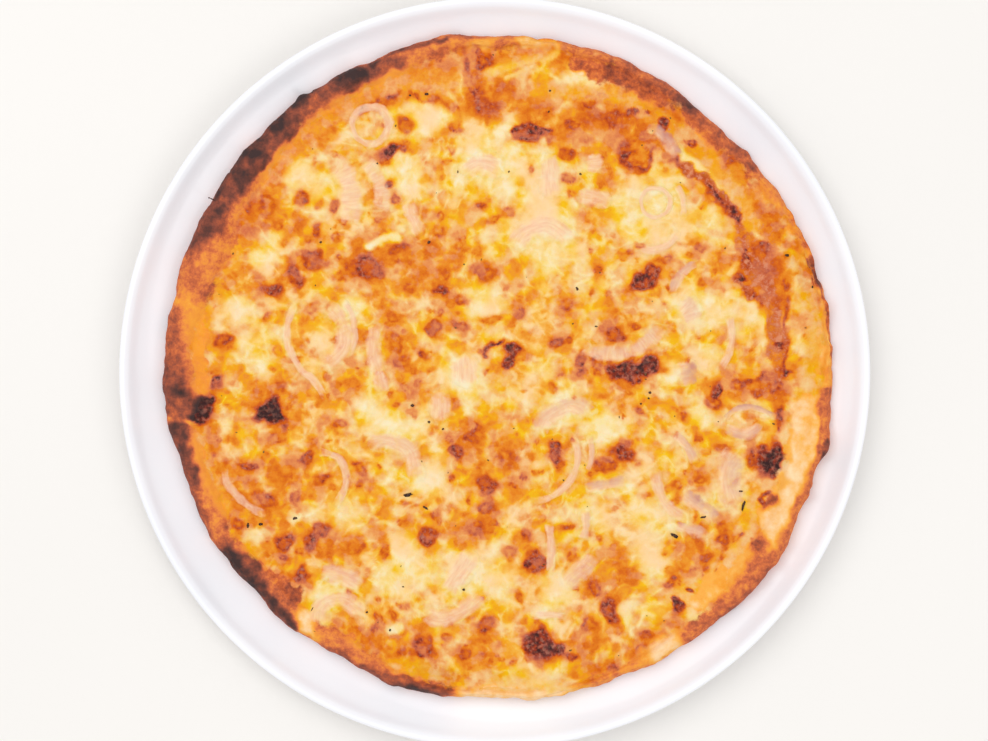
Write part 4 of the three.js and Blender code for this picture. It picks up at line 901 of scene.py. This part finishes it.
def disc_faces(rings):
    """The disc's triangles: in each sixth of ring k, k stand on the ring and k - 1 hang from it."""
    blocks = []
    for k in range(1, rings + 1):
        side, i = np.meshgrid(np.arange(6), np.arange(k), indexing="ij")
        outer = 1 + 3 * k * (k - 1) + (side * k + i) % (6 * k)
        outer_next = 1 + 3 * k * (k - 1) + (side * k + i + 1) % (6 * k)
        first = 1 + 3 * (k - 1) * (k - 2) if k > 1 else 0
        inner = first + (side * (k - 1) + i) % max(1, 6 * (k - 1))
        inner_next = first + (side * (k - 1) + i + 1) % max(1, 6 * (k - 1))
        blocks.append(np.stack([outer, outer_next, inner], -1).reshape(-1, 3))
        hanging = np.stack([inner, outer_next, inner_next], -1)[:, :-1]
        blocks.append(hanging.reshape(-1, 3))
    return blocks


def place_degrees(x, y):
    """The angle of a place round the pizza's centre, from 0 to 360."""
    return np.degrees(np.arctan2(y - PIZZA_Y, x - PIZZA_X)) % 360


def outline_inset(x, y):
    """How far in from the outline a place is, in mm."""
    return outline(place_degrees(x, y)) - np.hypot(x - PIZZA_X, y - PIZZA_Y)


def crust_level(x, y):
    """The height of the crust's upper side: the mesh's own columns, read at a table of insets and
    blended between the four table cells round each place."""
    column = place_degrees(x, y) / 360 * CRUST_COLUMNS
    row = np.clip(outline_inset(x, y) / SLOPE_STEP, 0, len(slope_table) - 1.001)
    i, j = row.astype(int), column.astype(int) % CRUST_COLUMNS
    u, v = column - column.astype(int), row - i
    after = (j + 1) % CRUST_COLUMNS
    low = (1 - u) * slope_table[i, j] + u * slope_table[i, after]
    return (1 - v) * low + v * ((1 - u) * slope_table[i + 1, j] + u * slope_table[i + 1, after])


def cheese_level(x, y):
    """The height of the cheese: the crust under it, plus a depth that swells from just under the
    film's border, as 3t^2 - 2t^3 at 12 t mm in, plus a low dome and the relief of the baking."""
    inward = outline_inset(x, y) - cheese_inset(place_degrees(x, y)) + FILM_REACH
    swollen = ease(0, SWELL_WIDTH, inward)
    share = np.hypot(x - PIZZA_X, y - PIZZA_Y) / PIZZA_RADIUS
    depth = -FILM_SINK + (CHEESE_DEPTH + FILM_SINK) * swollen + CHEESE_DOME * (1 - share ** 2) * swollen
    return crust_level(x, y) + depth + painted(lift, x, y) * ease(0, 7, inward)


def melted_cheese(tree):
    """Fat and protein melted together: glossy where oil stands, a little see-through, with a skin
    that wrinkles at 1.4 mm, and duller, crisper blisters."""
    place = add(tree, "TexCoord").outputs["Object"]
    colour, _ = baked_colour(tree, place)
    oil = add(tree, "Attribute", attribute_name="oil").outputs["Fac"]
    matt = add(tree, "MapRange", {"Value": oil, "To Min": 0.42, "To Max": 0.2})
    skin = add(tree, "TexNoise", {
        "Vector": place, "Scale": 1 / (1.4 * MM), "Detail": 3.0, "Roughness": 0.55,
    })
    gloss = add(tree, "Math", {0: skin, 1: 0.25, 2: matt}, operation="MULTIPLY_ADD")
    gloss = add(tree, "Math", {0: gloss, 1: 0.12}, operation="SUBTRACT")
    bump = add(tree, "Bump", {"Height": skin, "Strength": 0.45, "Distance": 0.4 * MM})
    return {
        "Base Color": colour, "Roughness": gloss, "IOR": 1.4, "Specular IOR Level": 0.22,
        "Subsurface Weight": 0.12, "Subsurface Radius": (1.0, 0.5, 0.2), "Subsurface Scale": 1.5 * MM,
        "Normal": bump,
    }


# The crust's upper side as a table of heights: rows of insets 0.5 mm apart, up to 40 mm in, by the
# crust's columns.
SLOPE_STEP, SLOPE_REACH = 0.5, 40.0
upper = slice(sum(SECTION_ROWS[:6]), None)
insets = np.arange(0, SLOPE_REACH, SLOPE_STEP)
slope_table = np.stack([
    np.interp(insets, circle[j] - crust_radius[upper, j], crust_height[upper, j])
    for j in range(CRUST_COLUMNS)
], -1)

ring, share_of_turn = disc_points(CHEESE_RINGS)
disc_turn = 2 * np.pi * share_of_turn
disc_edge = outline(np.degrees(disc_turn))
disc_border = disc_edge - cheese_inset(np.degrees(disc_turn)) + FILM_REACH
away = disc_border * ring / CHEESE_RINGS
disc_x, disc_y = PIZZA_X + away * np.cos(disc_turn), PIZZA_Y + away * np.sin(disc_turn)
cheese_top = np.stack([disc_x, disc_y, cheese_level(disc_x, disc_y)], -1)

# The underside: rings that follow the dough inwards from under the film's border, each a little
# below its surface, and then a flat base.
columns = 6 * CHEESE_RINGS
border = np.arange(len(ring) - columns, len(ring))
stepped_in = disc_border[border] - np.array(UNDERSIDE_INWARDS)[:, None]
under_x = PIZZA_X + stepped_in * np.cos(disc_turn[border])
under_y = PIZZA_Y + stepped_in * np.sin(disc_turn[border])
under_z = crust_level(under_x, under_y) - FILM_SINK - np.array(UNDERSIDE_GAPS)[:, None]
underside = np.stack([under_x, under_y, under_z], -1)[::-1].reshape(-1, 3)
cheese_points = np.concatenate([cheese_top, underside, [[PIZZA_X, PIZZA_Y, under_z[-1].mean()]]])
innermost = np.arange(columns) + len(ring)
last_band = np.arange(columns) + len(cheese_points) - 1 - columns
cheese_faces = disc_faces(CHEESE_RINGS)
cheese_faces.append(ring_faces(len(UNDERSIDE_GAPS), columns, first=len(ring)))
cheese_faces.append(np.stack([last_band, np.roll(last_band, -1), np.roll(border, -1), border], -1))
cheese_faces.append(cap_faces(innermost, len(cheese_points) - 1, last=False))
cheese_marks = marks_at(cheese_points[:, 0], cheese_points[:, 1])
cheese_material = new_material("melted mozzarella", melted_cheese)
cheese = make_piece("melted_cheese", cheese_points, cheese_faces, cheese_material, **cheese_marks)
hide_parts("cheese")

# The onion: half rings and whole rings of one white onion with violet-grey inner skins, 3 to 11 mm
# wide and laid on the cheese. They softened in the oven and sank in, so that cheese laps their borders.
# Each row is name, width, whether its fine ribs run along it, how violet it is, and its route.
ONION_SLICES = [
    ("crescent_wide_left", 8.6, False, 0.1, [(-71, 90), (-65, 87), (-62, 80), (-61, 72), (-62, 60)]),
    ("crescent_inner_left", 6.6, False, 0.15, [(-56, 91), (-51, 85), (-48.5, 79), (-48, 73), (-49, 67)]),
    ("sliver_upper_left", 6, True, 0.1, [(-36.5, 74), (-36, 69), (-34, 64), (-30.5, 58)]),
    ("arc_top", 8.4, True, 0.05, [(-13, 83), (-9.5, 87.5), (-3.5, 88.5), (4, 85.5)]),
    ("leaf_top", 8, True, 0.1, [(22.5, 94), (23.5, 87), (24, 80), (25, 73.5)]),
    ("strip_upper", 6.6, True, 0.1, [(34, 75), (41.5, 74.5), (50, 72.5)]),
    ("patch_upper", 6, False, 0.05, [(42, 94), (42.5, 89), (42, 84)]),
    ("arch_upper", 8.4, True, 0.05,
     [(8.3, 51), (9.5, 55.5), (13.5, 60), (21.5, 62.8), (29, 59), (33.6, 53)]),
    ("arc_upper_right", 2.8, True, 0.1, [(77, 80.5), (80, 74), (80.5, 66)]),
    ("oval_upper_right", 3.4, True, 0.1, [(78, 61), (74.5, 55), (67, 52), (60.5, 54)]),
    ("strip_grey_top_right", 5.4, True, 0.9, [(66.5, 105), (70.5, 102), (74.8, 97), (78, 90.5)]),
    ("big_ring_top", 3.8, True, 0.6, [(75.6, 32), (76.6, 37), (79.5, 42), (83.5, 45.4), (88, 46.5)]),
    ("big_ring_left", 7.6, False, 0.3, [(79, 31), (83, 27), (85.5, 21)]),
    ("big_ring_right", 3.2, True, 0.15, [(99.5, 26), (101, 14), (98.5, 6), (95, 0)]),
    ("big_ring_bottom", 8, False, 0.8, [(81, 6), (82, 0), (84, -6)]),
    ("arc_middle_right", 6, False, 0.3, [(34, 12), (44, 8.5), (54, 8.5), (62.5, 11.5), (73, 21)]),
    ("half_ring_outer", 2.6, True, 0.9,
     [(97, -21.5), (100.5, -17), (106, -14.8), (112, -15.2), (121.5, -20)]),
    ("half_ring_inner", 4.6, True, 0.5,
     [(113.5, -20.5), (111.5, -23.5), (107.5, -26), (103, -25.5), (97, -23)]),
    ("broad_right", 11, True, 0.5, [(105, -33), (101, -38), (99.5, -44), (100.5, -51), (103.5, -58.5)]),
    ("arc_lower_right", 4.6, True, 0.2, [(67.5, -40), (69, -47), (72, -54.5), (77, -59.5), (84, -62.5)]),
    ("band_lower_right", 6.4, True, 0.9, [(79, -50.5), (84, -54), (89, -57.5), (95, -64)]),
    ("arc_small_right", 4, True, 0.5, [(75.5, -25), (80, -29.5), (83.5, -34), (85.5, -39.5)]),
    ("strip_lower_right", 4.6, True, 0.5, [(76, -64.5), (84, -67), (91, -69)]),
    ("arch_middle", 7.6, True, 0.35,
     [(19, -28), (20.5, -21.5), (25, -17), (31.5, -14), (37, -15), (41.5, -19.5)]),
    ("long_arc_middle", 3, True, 0.15,
     [(31, -24.5), (34, -29), (35.4, -35), (34.5, -41), (31, -47.5), (23, -53.3), (14, -55)]),
    ("arc_middle_outer", 2.6, True, 0.4, [(39.8, -26), (41.2, -31.5), (41, -37.5), (39, -42.8)]),
    ("strip_grey_middle", 4.6, True, 0.7, [(37, -50), (43, -48.4), (50, -46.9), (57, -46)]),
    ("strip_lower_a", 4, True, 0.35, [(38.4, -57.5), (39, -65), (37.5, -72)]),
    ("strip_lower_b", 3.6, True, 0.2, [(22.8, -63), (24, -72), (24, -80), (23.5, -87)]),
    ("diagonal_lower", 7.6, True, 0.3, [(43, -77), (39, -82), (33.5, -87.5), (30, -92)]),
    ("diagonal_wide", 8.4, True, 0.1, [(-9, -75), (-13, -82), (-17.5, -89), (-21, -95)]),
    ("arc_bottom", 6.6, True, 0.1, [(-5, -92.5), (-10, -98.5), (-16.5, -103), (-24, -105), (-32, -102)]),
    ("strip_bottom", 3.2, True, 0.2, [(15, -103.5), (23, -103), (30.5, -103.7)]),
    ("arc_peach_left", 7, True, 0.2, [(-56.5, -31.5), (-49, -29), (-41.5, -30), (-35.5, -35), (-33, -48)]),
    ("thin_ring_left", 3.2, True, 0.25,
     [(-77, -33.5), (-70.5, -34.5), (-65.5, -37.5), (-63.2, -43.5), (-64, -49.5), (-68.5, -58)]),
    ("arc_far_left", 3.4, True, 0.2, [(-115.5, -39), (-114, -47), (-109, -53), (-103, -58), (-96, -61)]),
    ("band_lower_left", 7.4, True, 0.2, [(-76, -85), (-67.5, -86), (-61, -88), (-55.5, -92)]),
    ("hook_lower_left", 6.8, True, 0.05,
     [(-75, -109.5), (-75, -102), (-71.5, -97.5), (-64.5, -96.8), (-58.5, -100.8), (-55, -105.5)]),
    ("strand_left", 3.1, True, 0.1,
     [(-82.5, 32.5), (-87.6, 23), (-88, 12), (-82.5, 1.5), (-76.5, -3.8), (-70.5, -13.5)]),
    ("ring_left_inner", 6.8, True, 0.1,
     [(-73, 29), (-68, 26), (-64.5, 19.5), (-64.4, 12), (-68.5, 6), (-76, 3)]),
    ("ring_left_outer", 2.6, True, 0.2, [(-66.5, 32), (-61.5, 26.5), (-59.8, 19), (-60, 12), (-63, 5.5)]),
    ("strip_left", 6, True, 0.1, [(-51, 22.5), (-51.5, 14), (-51.3, 6), (-49, -3), (-47.5, -11)]),
    ("lump_middle", 10.4, False, 0.05, [(-20, 1), (-13, 1), (-6, 1.5)]),
    ("lump_lower", 10.4, False, 0.1, [(-28.5, -14), (-23, -14.3), (-17.5, -14)]),
]
# A whole ring is the gap between two circles: name, outer centre and radius, inner centre and radius.
ONION_RINGS = [
    ("ring_top_left", 0.2, (-52.4, 105.6), 10.3, (-53.4, 104.9), 5.3),
    ("ring_upper_right", 0.1, (68.5, 72.5), 7.7, (68.3, 72.3), 4.7),
]
# A slice is made half as wide again as it shows, because the cheese covers its borders.
ONION_SPREAD = 1.5
ONION_THICKNESS, ONION_STAND, ONION_SINK = 1.3, 0.6, 0.16
ONION_STEP = 0.55
ONION_COLUMNS = 17
RIB_WIDTH = 1.3
ONION_CREAM, ONION_PEACH, ONION_VIOLET = "F7D5AE", "EFB996", "C48A84"


def smooth_route(route):
    """Points ONION_STEP apart along the Catmull-Rom curve through the route: between b and c, with
    neighbours a and d, 0.5 (2b + (c-a) t + (2a-5b+4c-d) t^2 + (3b-a-3c+d) t^3)."""
    route = np.asarray(route, float)
    padded = np.concatenate([[2 * route[0] - route[1]], route, [2 * route[-1] - route[-2]]])
    a, b, c, d = (padded[k:len(padded) - 3 + k, None] for k in range(4))
    t = np.linspace(0, 1, 40, endpoint=False)[:, None]
    square, cube = 2 * a - 5 * b + 4 * c - d, 3 * b - a - 3 * c + d
    curve = 0.5 * (2 * b + (c - a) * t + square * t ** 2 + cube * t ** 3)
    curve = np.concatenate([curve.reshape(-1, 2), route[-1:]])
    walked = np.append(0, np.cumsum(np.hypot(*np.diff(curve, axis=0).T)))
    steps = np.linspace(0, walked[-1], int(walked[-1] / ONION_STEP) + 1)
    return np.stack([np.interp(steps, walked, curve[:, k]) for k in (0, 1)], -1), steps


def cooked_onion(tree, violet):
    """Soft wet onion: cream and peach ribs 1.3 mm apart, violet-grey towards its outer skin by the
    share given, the cheese's colour coming through towards the borders, and a moist gloss."""
    place = add(tree, "TexCoord").outputs["Object"]
    cheese, _ = baked_colour(tree, place)
    rib = add(tree, "Attribute", attribute_name="rib").outputs["Fac"]
    along = add(tree, "Attribute", attribute_name="along").outputs["Fac"]
    grid = add(tree, "CombineXYZ", {"X": rib, "Y": along})
    layers = add(tree, "TexNoise", {"Vector": grid, "Scale": 1.0, "Detail": 2.0})
    flesh = add(tree, "ValToRGB", {"Fac": layers}, [(0.32, ONION_PEACH), (0.66, ONION_CREAM)])
    bruise = add(tree, "TexNoise", {"Vector": place, "Scale": 1 / (5 * MM), "Detail": 1.0})
    side = add(tree, "Attribute", attribute_name="side").outputs["Fac"]
    skin_side = add(tree, "Math", {0: bruise, 1: 0.8, 2: side}, operation="MULTIPLY_ADD")
    violets = add(tree, "MapRange", {
        "Value": skin_side, "From Min": 0.6, "From Max": 1.2, "To Max": min(1.1 * violet, 1),
    })
    flesh = add(tree, "MixRGB", {"Fac": violets, "Color1": flesh, "Color2": ONION_VIOLET})
    sunk = add(tree, "Attribute", attribute_name="sunk").outputs["Fac"]
    fine = add(tree, "TexNoise", {
        "Vector": place, "Scale": 1 / (4 * MM), "Detail": 4.0, "Roughness": 0.6,
    })
    lapped = add(tree, "Math", {0: fine, 1: 1.1, 2: sunk}, operation="MULTIPLY_ADD")
    through = add(tree, "MapRange", {
        "Value": lapped, "From Min": 0.46, "From Max": 1.02, "To Min": 0.16,
    }, interpolation_type="SMOOTHSTEP")
    colour = add(tree, "MixRGB", {"Fac": through, "Color1": flesh, "Color2": cheese})
    bump = add(tree, "Bump", {"Height": layers, "Strength": 0.1, "Distance": 0.25 * MM})
    return {
        "Base Color": colour, "Roughness": 0.3, "IOR": 1.38, "Specular IOR Level": 0.3,
        "Subsurface Weight": 0.15, "Subsurface Radius": (1.0, 0.7, 0.5), "Subsurface Scale": 1.5 * MM,
        "Normal": bump,
    }


def onion_skin(left, right, walked, ribs_along, seed, closed):
    """A slice between two border lines, rows along it by columns round it. On top, at u across from
    1 to -1, the height is the cheese's plus stand (1 - |u|^2.4) less sink, with ribs; the underside
    lies a thickness below the borders."""
    u = np.linspace(1, -1, ONION_COLUMNS)
    middle, half = (left + right)[:, None] / 2, (left - right)[:, None] / 2
    top = middle + u[:, None] * half
    wide = np.hypot(half[..., 0], half[..., 1])
    rib = u * wide if ribs_along else walked[:, None] + 0 * u
    along = walked[:, None] + 0 * u if ribs_along else u * wide
    end = 0 * walked if closed else np.abs(2 * walked / walked[-1] - 1) ** 5
    sunk = np.maximum(np.abs(u) ** 3, end[:, None])
    wave = painted(onion_wave, top[..., 0] + 7 * seed % 40, top[..., 1])
    stand = ONION_STAND * (1 - sunk ** 0.8) - ONION_SINK + 0.12 * wave * (1 - sunk)
    stand += 0.015 * np.cos(2 * np.pi * rib / RIB_WIDTH) * (1 - sunk)
    level = cheese_level(top[..., 0], top[..., 1])
    under, cheese_over = top[:, 1:-1][:, ::-1], level[:, 1:-1][:, ::-1]
    under_level = cheese_over - ONION_THICKNESS + ONION_STAND / 2
    under_level = np.minimum(under_level, cheese_over - ONION_SINK - 0.3)
    points = np.concatenate([
        np.concatenate([top, (level + stand)[..., None]], -1),
        np.concatenate([under, under_level[..., None]], -1),
    ], 1)
    marks = {
        "sunk": sunk,
        "rib": rib / RIB_WIDTH,
        "along": along / (6 * RIB_WIDTH),
        "side": (u + 1) / 2 + 0 * sunk,
    }
    marks = {name: np.concatenate([values, values[:, 1:-1][:, ::-1]], 1) for name, values in marks.items()}
    return points, marks


def make_onion(name, points, marks, closed, material):
    """The slice's mesh: a tube of its rows, closed by joining its ends or by a cap on each."""
    rows, columns = points.shape[:2]
    if closed:
        first_row = np.arange(columns)
        last_row = first_row + (rows - 1) * columns
        joint = np.stack([last_row, np.roll(last_row, -1), np.roll(first_row, -1), first_row], -1)
        faces, middles = [ring_faces(rows, columns), joint], np.zeros((0, 3))
    else:
        middles = points[[0, -1]].mean(1)
        size = rows * columns
        faces = [
            ring_faces(rows, columns),
            cap_faces(np.arange(columns), size, last=False),
            cap_faces(np.arange(columns) + size - columns, size + 1, last=True),
        ]
    corners = np.concatenate([points.reshape(-1, 3), middles])
    marks = {mark: np.append(values, np.ones(len(middles))) for mark, values in marks.items()}
    baked = marks_at(corners[:, 0], corners[:, 1])
    slice_piece = make_piece(f"slice_{name}", corners, faces, material, **marks, **baked)
    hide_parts(f"onion_{name}")


onion_wave = mottle(91, 7)
onion_tints = {}
for violet in sorted({row[3] for row in ONION_SLICES} | {row[1] for row in ONION_RINGS}):
    title = f"cooked white onion, {violet:.0%} violet".replace("%", " percent")
    onion_tints[violet] = new_material(title, lambda tree: cooked_onion(tree, violet))
for seed, (name, width, ribs_along, violet, route) in enumerate(ONION_SLICES):
    middle, walked = smooth_route(route)
    direction = np.gradient(middle, axis=0)
    direction /= np.hypot(*direction.T)[:, None]
    share = 2 * walked / walked[-1] - 1
    waver = 1 + 0.1 * np.sin(walked / 2.9 + seed) + 0.07 * np.sin(walked / 1.3 + 2 * seed)
    rounded_ends = np.clip(1.02 - np.abs(share) ** (2 + walked[-1] / width), 0.02, 1)
    half = ONION_SPREAD * width / 2 * np.sqrt(rounded_ends) * waver
    side = half[:, None] * np.stack([-direction[:, 1], direction[:, 0]], -1)
    points, marks = onion_skin(middle + side, middle - side, walked, ribs_along, seed, closed=False)
    make_onion(name, points, marks, False, onion_tints[violet])
for seed, (name, violet, outer, outer_radius, inner, inner_radius) in enumerate(ONION_RINGS):
    count = int(2 * np.pi * outer_radius / ONION_STEP)
    around = np.linspace(0, 2 * np.pi, count, endpoint=False)
    way = np.stack([np.cos(around), np.sin(around)], -1)
    waver = 1 + 0.03 * np.sin(3 * around + seed) + 0.02 * np.sin(7 * around)
    left, right = inner + inner_radius * way, outer + outer_radius * waver[:, None] * way
    points, marks = onion_skin(left, right, around * outer_radius, True, seed, closed=True)
    make_onion(name, points, marks, True, onion_tints[violet])

# The oregano: dried leaf rubbed between the fingers and strewn before baking, so that dark green-brown
# flecks of about 0.3 to 1.5 mm lie all over the cheese, partly sunk in it.
FLECK_COUNT = 70
FLECK_SIDES = 7
FLECK_REACH = 137.0
FLECK_SMALLEST, FLECK_LARGEST = 0.12, 0.36
LEAF_COLOURS = [(0.35, "5A3E1C"), (0.55, "765A28"), (0.7, "8C7034")]


def flakes(x, y, radius, stretch, turn, thickness, sides, seed):
    """Closed flat flakes on the cheese, as points and faces: a ring of corners at radius times 0.75 to
    1.25, stretched along the turn, with a middle corner above it and one below, each half the
    thickness away; the whole is tilted at random."""
    shuffle = np.random.default_rng(seed)
    count = len(x)
    around = np.linspace(0, 2 * np.pi, sides, endpoint=False)
    reach = radius[:, None] * shuffle.uniform(0.75, 1.25, (count, sides))
    along, across = reach * np.cos(around) * stretch[:, None], reach * np.sin(around)
    c, s = np.cos(turn)[:, None], np.sin(turn)[:, None]
    corner_x = x[:, None] + along * c - across * s
    corner_y = y[:, None] + along * s + across * c
    tilt = shuffle.uniform(-0.35, 0.35, (2, count, 1))
    level = cheese_level(corner_x, corner_y) + 0.3 * thickness[:, None]
    corner_z = level + tilt[0] * along * 0.5 + tilt[1] * across * 0.5
    ring = np.stack([corner_x, corner_y, corner_z], -1)
    middle = ring.mean(1, keepdims=True)
    rise = [0, 0, 1] * (thickness / 2)[:, None, None]
    points = np.concatenate([ring, middle + rise, middle - rise], 1)
    j = np.arange(sides)
    fan_up = np.stack([j, (j + 1) % sides, 0 * j + sides], -1)
    fan_down = np.stack([(j + 1) % sides, j, 0 * j + sides + 1], -1)
    pattern = np.concatenate([fan_up, fan_down])
    faces = (pattern[None] + (np.arange(count) * (sides + 2))[:, None, None]).reshape(-1, 3)
    return points, faces


def dried_leaf(tree):
    """Dried oregano leaf: dull dark brown and olive by turns of 2 mm."""
    place = add(tree, "TexCoord").outputs["Object"]
    blend = add(tree, "TexNoise", {"Vector": place, "Scale": 1 / (2 * MM), "Detail": 2.0})
    colour = add(tree, "ValToRGB", {"Fac": blend}, LEAF_COLOURS)
    return {"Base Color": colour, "Roughness": 0.75}


strew = np.random.default_rng(77)
away, angle = FLECK_REACH * np.sqrt(strew.random(FLECK_COUNT)), 2 * np.pi * strew.random(FLECK_COUNT)
fleck_points, fleck_faces = flakes(
    PIZZA_X + away * np.cos(angle), PIZZA_Y + away * np.sin(angle),
    strew.uniform(FLECK_SMALLEST, FLECK_LARGEST, FLECK_COUNT), strew.uniform(1, 2.2, FLECK_COUNT),
    strew.uniform(0, np.pi, FLECK_COUNT), strew.uniform(0.15, 0.35, FLECK_COUNT), FLECK_SIDES, 78)
oregano_material = new_material("dried oregano", dried_leaf)
oregano = make_piece("oregano_flecks", fleck_points, [fleck_faces], oregano_material)

# The charred scraps: bits of onion and herb that burned black where they stood out of the cheese.
# Each row is x, y, half length, half width, turn in degrees; a scrap fills about two thirds of that.
SCRAP_SHARE = 0.68
SCRAPS = [
    (-37, -52, 3, 1.2, 8), (-29.5, -57.5, 1.8, 0.6, -30), (76.5, -69.5, 2.6, 1, -25),
    (106, -56, 4.6, 0.8, 74), (105, -50.5, 1.6, 0.7, 0), (89, -61.5, 2.1, 0.8, 10),
    (-29, 118.5, 1.2, 0.8, 0), (-36, 118, 0.8, 0.6, 0), (23.5, 120, 0.7, 0.6, 0),
    (23, 111, 0.7, 0.5, 40), (-28, 55.5, 1, 0.9, 0), (-35, -14, 1.1, 1, 0), (-28, -21, 0.8, 0.8, 0),
    (-22, -24, 0.8, 0.6, 30), (36.5, 84.5, 0.7, 0.6, 0), (66, -8.5, 1, 0.8, 0),
    (65.5, -11, 0.7, 0.6, 0), (62.2, -13.3, 0.6, 0.6, 0), (124.5, 50, 1.3, 0.9, -10),
    (135.5, 36.5, 0.5, 0.9, 0), (-105, -65, 0.8, 1.6, 0), (-99.5, -64.5, 1.3, 0.8, 0),
    (-85, -62, 1.4, 0.8, 15), (-54.5, -102, 0.9, 0.7, 0), (-50, 89, 0.7, 0.7, 0),
    (-74, 55.5, 0.8, 0.7, 0), (-121.4, 74.3, 0.6, 0.5, 0), (-120, 73.7, 1.7, 0.4, -25),
    (-13.2, -92.4, 0.9, 0.7, 20), (-44.6, -109.6, 0.8, 0.6, 80), (35.1, 35.7, 1.2, 0.8, -60),
    (-77.6, -100.5, 1.8, 0.35, 60), (-76.6, -110, 1.6, 0.35, -35),
]
SCRAP_SIDES = 14
CHARCOAL_COLOURS = [(0.4, "301A10"), (0.6, "4E2C1A"), (0.72, "7A4C30")]


def charcoal(tree):
    """Charred plant: black-brown, dry and dull, with lighter ash on its ridges at 0.8 mm."""
    place = add(tree, "TexCoord").outputs["Object"]
    ridge = add(tree, "TexNoise", {"Vector": place, "Scale": 1 / (0.8 * MM), "Detail": 2.0})
    colour = add(tree, "ValToRGB", {"Fac": ridge}, CHARCOAL_COLOURS)
    return {"Base Color": colour, "Roughness": 0.6}


scrap_x, scrap_y, scrap_long, scrap_wide, scrap_turn = np.array(SCRAPS, float).T
scrap_points, scrap_faces = flakes(
    scrap_x, scrap_y, SCRAP_SHARE * scrap_wide, scrap_long / scrap_wide,
    np.radians(scrap_turn), 0.5 + 0.3 * scrap_wide, SCRAP_SIDES, 79)
scrap_material = new_material("charred onion and herb", charcoal)
scraps = make_piece("charred_scraps", scrap_points, [scrap_faces], scrap_material)

# The table and the light: a plain pale table top, one large soft light from the upper left, a weaker
# one from the lower right, and even light from all round, as in a small white studio.
TABLE_HALF = 3.0
TABLE_WHITE, TABLE_COOL = "F3F0EC", "F1EEEA"
# The room's sizes are in metres. Each light is a disc: name, place, width, power in watts.
LIGHTS = [("window", (-0.5, 0.6, 1.6), 1.5, 9.0), ("reflector", (0.7, -0.6, 1.6), 1.3, 4.6)]
SKY_STRENGTH = 0.768


def painted_board(tree):
    """Matt white paint, with cool and warm whites drifting over 30 cm."""
    place = add(tree, "TexCoord").outputs["Object"]
    drift = add(tree, "TexNoise", {"Vector": place, "Scale": 1 / 0.3, "Detail": 2.0})
    colour = add(tree, "ValToRGB", {"Fac": drift}, [(0.3, TABLE_COOL), (0.7, TABLE_WHITE)])
    return {"Base Color": colour, "Roughness": 0.7}


table_corners = np.array([[-1, -1, 0], [1, -1, 0], [1, 1, 0], [-1, 1, 0]]) * TABLE_HALF / MM
table_material = new_material("matt white paint", painted_board)
table = make_piece("table", table_corners, [np.array([[0, 1, 2, 3]])], table_material)

for name, place, width, power in LIGHTS:
    light_data = bpy.data.lights.new(name, "AREA")
    light_data.shape = "DISK"
    light_data.size = width
    light_data.energy = power
    light = bpy.data.objects.new(name, light_data)
    light.location = place
    light.rotation_euler = (-Vector(place)).to_track_quat("-Z", "Y").to_euler()
    bpy.context.scene.collection.objects.link(light)
world = bpy.data.worlds.new("studio")
world.use_nodes = True
world.node_tree.nodes["Background"].inputs["Strength"].default_value = SKY_STRENGTH
world.node_tree.nodes["Background"].inputs["Color"].default_value = linear("FFFFFF")
bpy.context.scene.world = world
bpy.context.scene.view_settings.view_transform = "Standard"

# The camera hangs straight over the plate. The picture is 420.4 mm wide at the height of its lip.
CAMERA_HEIGHT = 1.5
PICTURE_WIDTH = 0.4204
PICTURE_MIDDLE = (-0.0003, 0.0009)
camera_data = bpy.data.cameras.new("camera")
camera_data.sensor_width = 36.0
camera_data.lens = camera_data.sensor_width * CAMERA_HEIGHT / PICTURE_WIDTH
camera = bpy.data.objects.new("camera", camera_data)
camera.location = (*PICTURE_MIDDLE, CAMERA_HEIGHT + PLATE_HEIGHT * MM)
bpy.context.scene.collection.objects.link(camera)
bpy.context.scene.camera = camera
